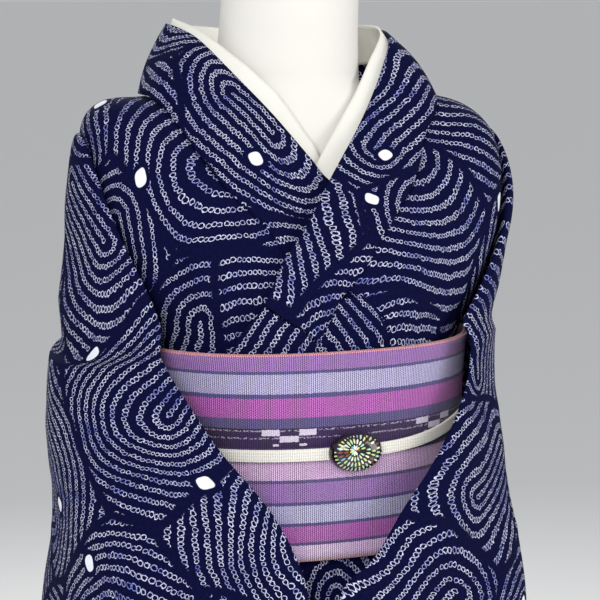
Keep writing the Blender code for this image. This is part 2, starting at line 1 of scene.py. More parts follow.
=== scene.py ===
"""Cotton yukata robe with its sash on a limbless dress form, dressed for looks.

Laid out as a Blender add-on: sizes and colours in property groups, one operator for each group of pieces,
a panel that lists them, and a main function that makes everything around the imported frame. Every cloth
piece is a grid of two parameters worked out with numpy over the surface of the dressed body.
"""
from math import cos, pi, radians, sin

import bpy
import numpy as np
from bpy.props import FloatProperty, FloatVectorProperty, PointerProperty
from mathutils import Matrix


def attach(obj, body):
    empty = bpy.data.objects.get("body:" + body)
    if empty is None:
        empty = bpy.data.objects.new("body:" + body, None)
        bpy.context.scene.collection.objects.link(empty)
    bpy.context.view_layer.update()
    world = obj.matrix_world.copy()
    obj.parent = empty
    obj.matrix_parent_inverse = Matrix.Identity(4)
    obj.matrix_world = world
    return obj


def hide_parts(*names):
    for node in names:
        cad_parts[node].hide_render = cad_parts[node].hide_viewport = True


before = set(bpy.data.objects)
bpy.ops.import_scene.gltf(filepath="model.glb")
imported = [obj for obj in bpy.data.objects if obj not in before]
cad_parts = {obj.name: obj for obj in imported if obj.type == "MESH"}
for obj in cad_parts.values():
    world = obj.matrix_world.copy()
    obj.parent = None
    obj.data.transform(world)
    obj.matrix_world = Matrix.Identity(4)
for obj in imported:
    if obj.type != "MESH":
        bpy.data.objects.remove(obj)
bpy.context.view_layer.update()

bl_info = {
    "name": "Cotton Yukata on a Dress Form",
    "version": (1, 0, 0),
    "blender": (4, 5, 0),
    "location": "View3D > Sidebar > Yukata",
    "description": "Dresses the packed frame of a cotton yukata, its sash and its stand",
    "category": "Object",
}

# The shared frame: metres, Z up, the wearer faces -Y and the wearer's left is +X. The numbers down to the
# body functions are those of the solids.
HEM_HEIGHT = 0.060
FORM_TOP = 1.455
CORD_WIDTH, CORD_THICK = 0.009, 0.0020
BROOCH_WIDTH, BROOCH_HEIGHT, BROOCH_DEPTH = 0.043, 0.031, 0.012
SASH_PITCH, SASH_TURNS = 0.0026, 2
POWER = 2.3  # of the superellipse: a little squarer than an ellipse

# How far each layer's middle lies out from the body surface
OUT_FORM_SHOULDER = -0.0018
OUT_FORM = -0.011
OUT_FORM_THROAT = -0.006
OUT_SKIRT_UNDER = -0.0054
OUT_SKIRT = -0.0027
OUT_OVER = 0.0046
OUT_SASH = 0.0082
OUT_CORD = 0.0160
OUT_BROOCH = 0.0175
COLLAR_RISE = 0.0010
INNER_COLLAR_DROP = 0.0022
INNER_COLLAR_DEEP = 0.0080

# The dressed body, one row for each level: half width, depth in front, depth behind, height at the side,
# height in front, height behind
BODY = np.array([
    (0.078, 0.050, 0.070, 1.312, 1.268, 1.318),  # 0 root of the neck
    (0.115, 0.076, 0.086, 1.304, 1.240, 1.298),  # 1 collar seam
    (0.150, 0.096, 0.097, 1.293, 1.216, 1.271),  # 2
    (0.166, 0.107, 0.103, 1.270, 1.196, 1.240),  # 3 end of the shoulder
    (0.167, 0.113, 0.105, 1.225, 1.174, 1.202),  # 4
    (0.150, 0.115, 0.103, 1.165, 1.150, 1.162),  # 5 under the arm
    (0.129, 0.112, 0.098, 1.120, 1.120, 1.120),  # 6 top of the sash
    (0.123, 0.109, 0.096, 1.036, 1.036, 1.036),  # 7
    (0.124, 0.108, 0.098, 0.954, 0.954, 0.954),  # 8 foot of the sash
    (0.140, 0.120, 0.114, 0.892, 0.892, 0.892),  # 9 fold of the tuck
    (0.150, 0.126, 0.126, 0.830, 0.830, 0.830),  # 10 hip
    (0.154, 0.126, 0.128, 0.745, 0.745, 0.745),  # 11
    (0.154, 0.124, 0.126, 0.640, 0.640, 0.640),  # 12
    (0.153, 0.122, 0.124, 0.500, 0.500, 0.500),  # 13
    (0.145, 0.120, 0.122, 0.300, 0.300, 0.300),  # 14
    (0.136, 0.116, 0.120, HEM_HEIGHT, HEM_HEIGHT, HEM_HEIGHT),  # 15 hem
])

# Collar seam where it is sewn to the wearer's left front, from nape to tuck: angle, row
SEAM_LEFT = np.array([
    (180.0, 1.25), (135.0, 1.15), (108.0, 1.12), (84.0, 1.10), (62.0, 1.12), (41.5, 1.25),
    (15.0, 2.35), (1.0, 4.35), (-6.5, 5.94), (-16.0, 6.7), (-30.0, 7.8), (-38.0, 9.0),
])
# The same on the wearer's right front, which lies underneath
SEAM_RIGHT = np.array([
    (-180.0, 1.25), (-135.0, 1.15), (-108.0, 1.15), (-84.0, 1.20), (-62.0, 1.25), (-39.0, 1.68),
    (-20.0, 2.4), (-12.5, 3.35), (-3.0, 4.5), (8.0, 5.7), (18.0, 6.6), (30.0, 7.8), (38.0, 9.0),
])
# Free edge of the collar where it stands round the neck, from nape to throat: x, y, z
EDGE_LEFT_NECK = np.array([
    (0.0, 0.098, 1.348), (0.060, 0.086, 1.351), (0.089, 0.050, 1.354), (0.086, 0.008, 1.349),
    (0.069, -0.021, 1.327), (0.0412, -0.050, 1.290),
])
EDGE_RIGHT_NECK = np.array([
    (0.0, 0.098, 1.348), (-0.060, 0.086, 1.353), (-0.087, 0.050, 1.360), (-0.0785, 0.008, 1.351),
    (-0.0652, -0.022, 1.331), (-0.0431, -0.055, 1.300), (-0.0136, -0.070, 1.263),
])
# The same edge where it lies on the chest, down to the tuck: angle, row
EDGE_LEFT_CHEST = np.array([
    (1.2, 0.92), (-11.7, 3.27), (-20.4, 4.84), (-38.0, 6.2), (-57.0, 7.8), (-64.0, 9.0),
])
EDGE_RIGHT_CHEST = np.array([
    (1.1, 0.93), (13.0, 2.4), (27.0, 4.4), (41.0, 6.0), (57.0, 7.8), (64.0, 9.0),
])
OVER_COLLAR_END = 8.0


# Okumi seam, from the chest down to the tuck: angle, row
OKUMI_LEFT = np.array([(1.0, 4.35), (13.0, 5.6), (17.0, 6.6), (20.0, 7.8), (22.0, 9.0)])
OKUMI_RIGHT = np.array([(-3.0, 4.5), (-13.0, 5.6), (-17.0, 6.6), (-20.0, 7.8), (-22.0, 9.0)])

# Outer edge of a body strip, from the tuck in front, round the armhole and down the back: angle, row
SIDE_EDGE = np.array([
    (89.8, 9.0), (89.8, 7.8), (89.8, 6.7), (89.6, 6.1), (88.5, 5.6), (84.0, 5.2), (80.0, 4.7),
    (78.5, 4.2), (80.0, 3.7), (84.0, 3.3), (91.5, 3.15), (99.0, 3.3), (103.5, 3.7), (105.0, 4.2),
    (103.0, 4.7), (98.0, 5.2), (91.8, 5.6), (90.4, 6.1), (90.2, 6.7), (90.2, 7.8), (90.2, 9.0),
])

# How far a sleeve stands out to clear the sash, its cord and the tuck: row, inner wall, outer wall
CLEARANCE = np.array([
    (0.0, 0.0, 0.0), (4.40, 0.0, 0.0), (5.20, 0.0, 0.006), (5.55, 0.0, 0.011), (5.90, 0.0172, 0.0172),
    (6.6, 0.0185, 0.0185), (6.8, 0.0205, 0.0205), (7.15, 0.0205, 0.0205), (7.4, 0.0185, 0.0185),
    (8.1, 0.0170, 0.0170), (9.0, 0.0090, 0.0090), (10.0, 0.0060, 0.0060), (15.0, 0.0060, 0.0060),
])
# Sleeve rings from the armhole to the cuff: front and back fold angles, row at the middle, how much lower
# the inner wall lies, how much higher the front fold lies, depth from inner to outer wall
SLEEVE_LEFT = np.array([
    (73.0, 111.0, 4.28, 1.46, 0.00, 0.000),
    (60.0, 114.0, 4.45, 1.50, 0.00, 0.004),
    (46.0, 117.0, 5.00, 1.35, 0.00, 0.009),
    (40.0, 120.0, 5.60, 1.05, 0.00, 0.011),
    (41.0, 122.0, 6.10, 0.75, 0.00, 0.013),
    (38.0, 124.0, 6.60, 0.45, 0.10, 0.014),
    (26.5, 125.0, 7.05, 0.20, 0.15, 0.017),
    (13.0, 126.0, 7.60, 0.05, 0.20, 0.026),
    (4.5, 126.0, 8.15, 0.00, 0.30, 0.033),
    (-3.5, 126.0, 8.80, 0.00, 0.50, 0.035),
    (-4.5, 125.0, 9.50, 0.00, 0.75, 0.035),
    (-4.0, 124.0, 10.15, 0.00, 1.05, 0.033),
    (-1.0, 122.0, 10.70, 0.00, 1.30, 0.029),
])
SLEEVE_RIGHT = np.array([
    (73.0, 111.0, 4.28, 1.46, 0.00, 0.000),
    (66.0, 114.0, 4.45, 1.50, 0.00, 0.004),
    (58.0, 117.0, 5.00, 1.35, 0.00, 0.010),
    (57.0, 120.0, 5.60, 1.05, 0.00, 0.024),
    (52.0, 122.0, 6.10, 0.75, 0.00, 0.042),
    (42.0, 124.0, 6.60, 0.45, 0.05, 0.054),
    (34.5, 125.0, 7.00, 0.20, 0.15, 0.060),
    (23.5, 126.0, 7.50, 0.05, 0.20, 0.061),
    (17.0, 126.0, 8.05, 0.00, 0.30, 0.062),
    (13.5, 126.0, 8.75, 0.00, 0.50, 0.060),
    (13.0, 125.0, 9.50, 0.00, 0.75, 0.056),
    (13.0, 124.0, 10.15, 0.00, 1.05, 0.050),
    (16.0, 122.0, 10.70, 0.00, 1.30, 0.042),
])
SLEEVE_OFF = 0.0021


# A bow loop from the knot to its tip: distance from the middle, half height, half depth, drop and
# distance behind the sash
LOOP = np.array([
    (0.0003, 0.020, 0.0097, 0.000, 0.0130),
    (0.020, 0.021, 0.0097, 0.000, 0.0130),
    (0.034, 0.028, 0.0090, 0.002, 0.0140),
    (0.055, 0.056, 0.0150, 0.006, 0.0200),
    (0.085, 0.070, 0.0200, 0.015, 0.0235),
    (0.115, 0.075, 0.0190, 0.026, 0.0225),
    (0.138, 0.077, 0.0110, 0.036, 0.0170),
    (0.146, 0.077, 0.0028, 0.040, 0.0130),
])

# Neck of the dress form from the top down: half width, half depth, distance behind the axis, height
NECK = np.array([
    (0.0460, 0.0480, 0.000, FORM_TOP), (0.0530, 0.0535, 0.000, FORM_TOP - 0.006),
    (0.0545, 0.0545, 0.001, FORM_TOP - 0.018), (0.0545, 0.0545, 0.004, 1.385), (0.0560, 0.0545, 0.009, 1.350),
    (0.0590, 0.0560, 0.014, 1.316),
])
FORM_ROWS = (0.5, 1.0, 1.5, 2.0, 2.5, 3.0, 3.6, 4.2, 5.0, 5.8, 6.7, 7.6, 8.4, 9.2, 10.25, 10.45)


def smooth(table, position):
    """Catmull-Rom through the rows of a table, read at fractional row numbers."""
    last = len(table) - 1
    position = np.clip(np.asarray(position, float), 0, last - 1e-9)
    i = position.astype(int)
    f = (position - i)[..., None]
    b, c = table[i], table[i + 1]
    a = np.where((i == 0)[..., None], 2 * b - c, table[np.maximum(i - 1, 0)])
    d = np.where((i == last - 1)[..., None], 2 * c - b, table[np.minimum(i + 2, last)])
    return 0.5 * (2 * b + (c - a) * f + (2 * a - 5 * b + 4 * c - d) * f**2 + (3 * b - a - 3 * c + d) * f**3)


def surface(angle, row):
    """The body surface: superellipse rings whose height changes from the side to the front and the back."""
    turn = np.radians(angle)
    half_width, front, back, z_side, z_front, z_back = np.moveaxis(smooth(BODY, row), -1, 0)
    c, s = np.cos(turn), np.sin(turn)
    depth = np.where(c > 0, front, back)
    z_end = np.where(c > 0, z_front, z_back)
    x = half_width * np.sign(s) * np.abs(s) ** (2 / POWER)
    y = -depth * np.sign(c) * np.abs(c) ** (2 / POWER)
    return np.stack([x, y, z_side + (z_end - z_side) * c**2], -1)


def point(angle, row, out=0.0):
    """A point on the body surface, moved out along its normal."""
    angle, row, out = (np.asarray(v, float) for v in np.broadcast_arrays(angle, row, out))
    row = np.clip(row, 0.03, len(BODY) - 1.03)
    across = surface(angle + 1.0, row) - surface(angle - 1.0, row)
    down = surface(angle, row + 0.03) - surface(angle, row - 0.03)
    normal = np.cross(down, across)
    normal /= np.linalg.norm(normal, axis=-1, keepdims=True)
    return surface(angle, row) + normal * out[..., None]


def over_lift(angle, row):
    """The wearer's left front lies over the right one and comes down to its own side seam and shoulder."""
    side = np.clip((84.0 - np.asarray(angle, float)) / 26.0, 0, 1)
    top = np.clip((np.asarray(row, float) - 1.1) / 0.9, 0.22, 1)
    return OUT_OVER * side**2 * (3 - 2 * side) * top


def shoulder_lift(angle, row):
    """The cloth stands a little proud on the wearer's right shoulder."""
    return 0.010 * np.exp(-(((angle + 92.0) / 30.0) ** 2) - ((row - 2.2) / 0.9) ** 2)


def side_lift(side, angle, row):
    return over_lift(angle, row) if side > 0 else shoulder_lift(angle, row)


def cloth_ripple(angle, row):
    """The largest soft folds of the bodice: a drag from the shoulder to the sash on each side."""
    left = np.exp(-(((angle - 52.0 + 4.0 * (row - 4.0)) / 9.0) ** 2) - ((row - 4.2) / 1.3) ** 2)
    right = np.exp(-(((angle + 60.0 - 3.0 * (row - 4.0)) / 9.0) ** 2) - ((row - 4.4) / 1.2) ** 2)
    return 0.0030 * (left + right)


def along(line, steps):
    """Evenly spaced points along a dense line of (angle, row)."""
    t = np.linspace(0, len(line) - 1, steps)
    return np.stack([np.interp(t, np.arange(len(line)), line[:, i]) for i in (0, 1)], -1)


def between(inner, outer, rows, columns, inner_gap, outer_gap):
    """Angles and rows of a strip between two edges, held back from each by a gap in metres."""
    a, b = along(inner, rows), along(outer, rows)
    length = np.linalg.norm(surface(b[:, 0], b[:, 1]) - surface(a[:, 0], a[:, 1]), axis=-1)
    start, stop = inner_gap / length, 1 - outer_gap / length
    u = start[:, None] + (stop - start)[:, None] * np.linspace(0, 1, columns)
    both = a[:, None] + (b - a)[:, None] * u[..., None]
    return both[..., 0], both[..., 1]


def waves(points, seed, size, count=9):
    """Smooth relief of about -1 to 1 at points in space: a sum of sine waves of random directions, each about
    one size long."""
    random = np.random.default_rng(seed)
    total = np.zeros(points.shape[:-1])
    for _ in range(count):
        direction = random.normal(size=3)
        direction /= np.linalg.norm(direction)
        length = size * random.uniform(0.7, 1.5)
        total += np.sin(2 * pi * (points @ direction) / length + random.uniform(0, 2 * pi))
    return total / np.sqrt(2.0 * count)


def hump(value, centre, width):
    """A bell of height 1 at the centre, which falls to about a third one width away."""
    return np.exp(-(((value - centre) / width) ** 2))


def eased(value, start, stop):
    """0 before start, 1 after stop, and a smooth step between them."""
    share = np.clip((value - start) / (stop - start), 0, 1)
    return share**2 * (3 - 2 * share)


def normals(points):
    """Unit normals of a grid from the differences along its two parameters."""
    normal = np.cross(np.gradient(points, axis=1), np.gradient(points, axis=0))
    return normal / np.maximum(np.linalg.norm(normal, axis=-1, keepdims=True), 1e-12)


def grid_area(points, closed=False):
    """Area of one side of a grid, from the cross product of the diagonals of each cell."""
    if closed:
        points = np.concatenate([points, points[:, :1]], axis=1)
    across = points[1:, 1:] - points[:-1, :-1]
    down = points[1:, :-1] - points[:-1, 1:]
    return 0.5 * np.linalg.norm(np.cross(across, down), axis=-1).sum()


def grid_faces(rows, columns, closed):
    index = np.arange(rows * columns).reshape(rows, columns)
    right = np.roll(index, -1, axis=1) if closed else index[:, 1:]
    here = index if closed else index[:, :-1]
    return np.stack([here[:-1], right[:-1], right[1:], here[1:]], -1).reshape(-1, 4)


def grid_object(name, points, closed=False, outward=None):
    """A mesh over a grid of points, whose faces are turned the same way as the outward directions."""
    faces = grid_faces(*points.shape[:2], closed)
    if outward is not None:
        corner = points.reshape(-1, 3)[faces]
        facing = np.cross(corner[:, 1] - corner[:, 0], corner[:, 3] - corner[:, 0])
        if (facing * outward.reshape(-1, 3)[faces[:, 0]]).sum() < 0:
            faces = faces[:, ::-1]
    mesh = bpy.data.meshes.new(name)
    mesh.from_pydata(points.reshape(-1, 3), [], faces)
    obj = bpy.data.objects.new(name, mesh)
    bpy.context.scene.collection.objects.link(obj)
    mesh.shade_smooth()
    return obj


def set_uv(obj, coordinates):
    """Gives each corner the pair of metres of its vertex, in the map named cloth."""
    mesh = obj.data
    layer = mesh.uv_layers.new(name="cloth")
    vertex = np.zeros(len(mesh.loops), np.int32)
    mesh.loops.foreach_get("vertex_index", vertex)
    layer.data.foreach_set("uv", coordinates.reshape(-1, 2)[vertex].astype(np.float32).ravel())


def grid_metres(points):
    """Metres along and across a nearly rectangular grid: the mean distance covered in each direction."""
    along_rows = np.linalg.norm(np.diff(points, axis=0), axis=-1).mean(axis=1)
    across = np.linalg.norm(np.diff(points, axis=1), axis=-1).mean(axis=0)
    v = np.concatenate([[0], np.cumsum(along_rows)])
    u = np.concatenate([[0], np.cumsum(across)])
    return np.stack(np.meshgrid(u, v), -1)


def unwrapped(obj, area, seam=False, shift=(0.0, 0.0)):
    """Lays a cloth grid flat with the least stretch, cut along its first column when it is a tube, and scales
    the result to metres by its area."""
    mesh = obj.data
    mesh.uv_layers.new(name="cloth")
    if seam:
        for edge in mesh.edges:
            a, b = edge.vertices
            if a % seam == 0 and b % seam == 0 and abs(a - b) == seam:
                edge.use_seam = True
    bpy.ops.object.select_all(action="DESELECT")
    obj.select_set(True)
    bpy.context.view_layer.objects.active = obj
    bpy.ops.object.mode_set(mode="EDIT")
    bpy.ops.mesh.select_all(action="SELECT")
    bpy.ops.uv.unwrap(method="MINIMUM_STRETCH", margin=0.0, iterations=15)
    bpy.ops.object.mode_set(mode="OBJECT")
    obj.select_set(False)
    layer = mesh.uv_layers["cloth"]
    flat = np.zeros(len(mesh.loops) * 2, np.float32)
    layer.data.foreach_get("uv", flat)
    flat = flat.reshape(-1, 4, 2).astype(float)
    one, other = flat[:, 2] - flat[:, 0], flat[:, 3] - flat[:, 1]  # diagonals of each face
    covered = 0.5 * np.abs(one[:, 0] * other[:, 1] - one[:, 1] * other[:, 0]).sum()
    flat = flat * np.sqrt(area / covered) + np.array(shift)
    layer.data.foreach_set("uv", flat.astype(np.float32).ravel())


def cloth_piece(name, node, points, thick, material, closed=False, uv=None,
                outward=None, shift=(0.0, 0.0)):
    """A sheet of cloth over a grid: faces outwards, laid flat for its pattern, thickened half on each side.
    A band too narrow to be a sheet has no way of being held."""
    if outward is None:
        outward = points - np.array((0.0, 0.0, 1.0)) * points[..., 2:]
    obj = grid_object(name, points, closed, outward)
    one_side = grid_area(points, closed)
    if uv is None:
        unwrapped(obj, one_side, points.shape[1] if closed else False, shift)
    else:
        set_uv(obj, uv + np.array(shift))
    wall = obj.modifiers.new("thickness", "SOLIDIFY")
    wall.thickness = thick
    wall.offset = 0.0
    wall.use_quality_normals = True
    obj.data.materials.append(material)
    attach(obj, "root")
    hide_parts(node)
    return obj


def linear(hex_colour, alpha=1.0):
    """An sRGB hex colour as the linear numbers that a shader takes."""
    value = np.array([int(hex_colour[i:i + 2], 16) for i in (1, 3, 5)]) / 255.0
    value = np.where(value <= 0.04045, value / 12.92, ((value + 0.055) / 1.055) ** 2.4)
    return (*value.tolist(), alpha)


def add_node(tree, kind, settings, inputs):
    """Adds one node, sets its own settings and the stops of its ramp, and fills its sockets with values or
    with links."""
    node = tree.nodes.new(kind)
    for name, value in settings.items():
        if name != "stops":
            setattr(node, name, value)
    for number, (start, colour) in enumerate(settings.get("stops", ())):
        ramp = node.color_ramp
        ramp.interpolation = "CONSTANT"
        element = ramp.elements[number] if number < 2 else ramp.elements.new(start)
        element.position, element.color = start, linear(colour)
    for socket, value in inputs.items():
        if isinstance(value, bpy.types.NodeSocket):
            tree.links.new(value, node.inputs[socket])
        else:
            node.inputs[socket].default_value = value
    return node


def output_of(made, name):
    """The output that a name such as cell.Position or ground.2 stands for; a plain name means the first."""
    node, _, output = name.partition(".")
    outputs = made[node].outputs
    return outputs[int(output)] if output.isdigit() else outputs[output or 0]


def wire(tree, rows):
    """Adds a table of nodes. A row is a name, a kind, its settings and its inputs, or for a sum a name, the
    operation in capitals and its inputs. Text as an input names the output of an earlier row."""
    made = {}
    for name, kind, *rest in rows:
        if kind.isupper():
            settings, inputs, kind = {"operation": kind}, dict(enumerate(rest)), "Math"
        else:
            settings, inputs = rest
        links = {k: output_of(made, v) if isinstance(v, str) else v for k, v in inputs.items()}
        made[name] = add_node(tree, "ShaderNode" + kind, settings, links)
    return made


def finish(name, rows, **sockets):
    """A Principled material from a table of nodes. Numbers and hex colours go straight on its sockets, and a
    name links the output of a row."""
    material = bpy.data.materials.new(name)
    material.use_nodes = True
    tree = material.node_tree
    shader = tree.nodes["Principled BSDF"]
    made = wire(tree, rows)
    for socket, value in sockets.items():
        socket = shader.inputs[socket.replace("_", " ")]
        if not isinstance(value, str):
            socket.default_value = value
        elif value.startswith("#"):
            socket.default_value = linear(value)
        else:
            tree.links.new(output_of(made, value), socket)
    return material


VECTOR = "VectorMath"
CLOTH_MAP = ("flat", "UVMap", {"uv_map": "cloth"}, {})
COARSE_THREAD = 0.0011  # metres; drawn about twice as coarse as the real thread, to show at all


FLAT_NOISE = {"noise_dimensions": "2D"}


def thread_rows(pitch, depth, strength=0.5):
    """Plain weave: two sets of rounded threads, one over the other by turns, as height for a bump."""
    return (
        ("cross", "SeparateXYZ", {}, {0: "flat"}),
        ("warp_turn", "MULTIPLY", "cross.X", 2 * pi / pitch),
        ("weft_turn", "MULTIPLY", "cross.Y", 2 * pi / pitch),
        ("warp_wave", "SINE", "warp_turn"),
        ("weft_wave", "SINE", "weft_turn"),
        ("over_under", "MULTIPLY", "warp_wave", "weft_wave"),
        ("slub", "TexNoise", FLAT_NOISE, {"Vector": "flat", "Scale": 260.0, "Detail": 3.0}),
        ("thread_height", "MULTIPLY_ADD", "slub", 1.2, "over_under"),
        ("bump", "Bump", {}, {"Height": "thread_height", "Distance": depth, "Strength": strength}),
    )


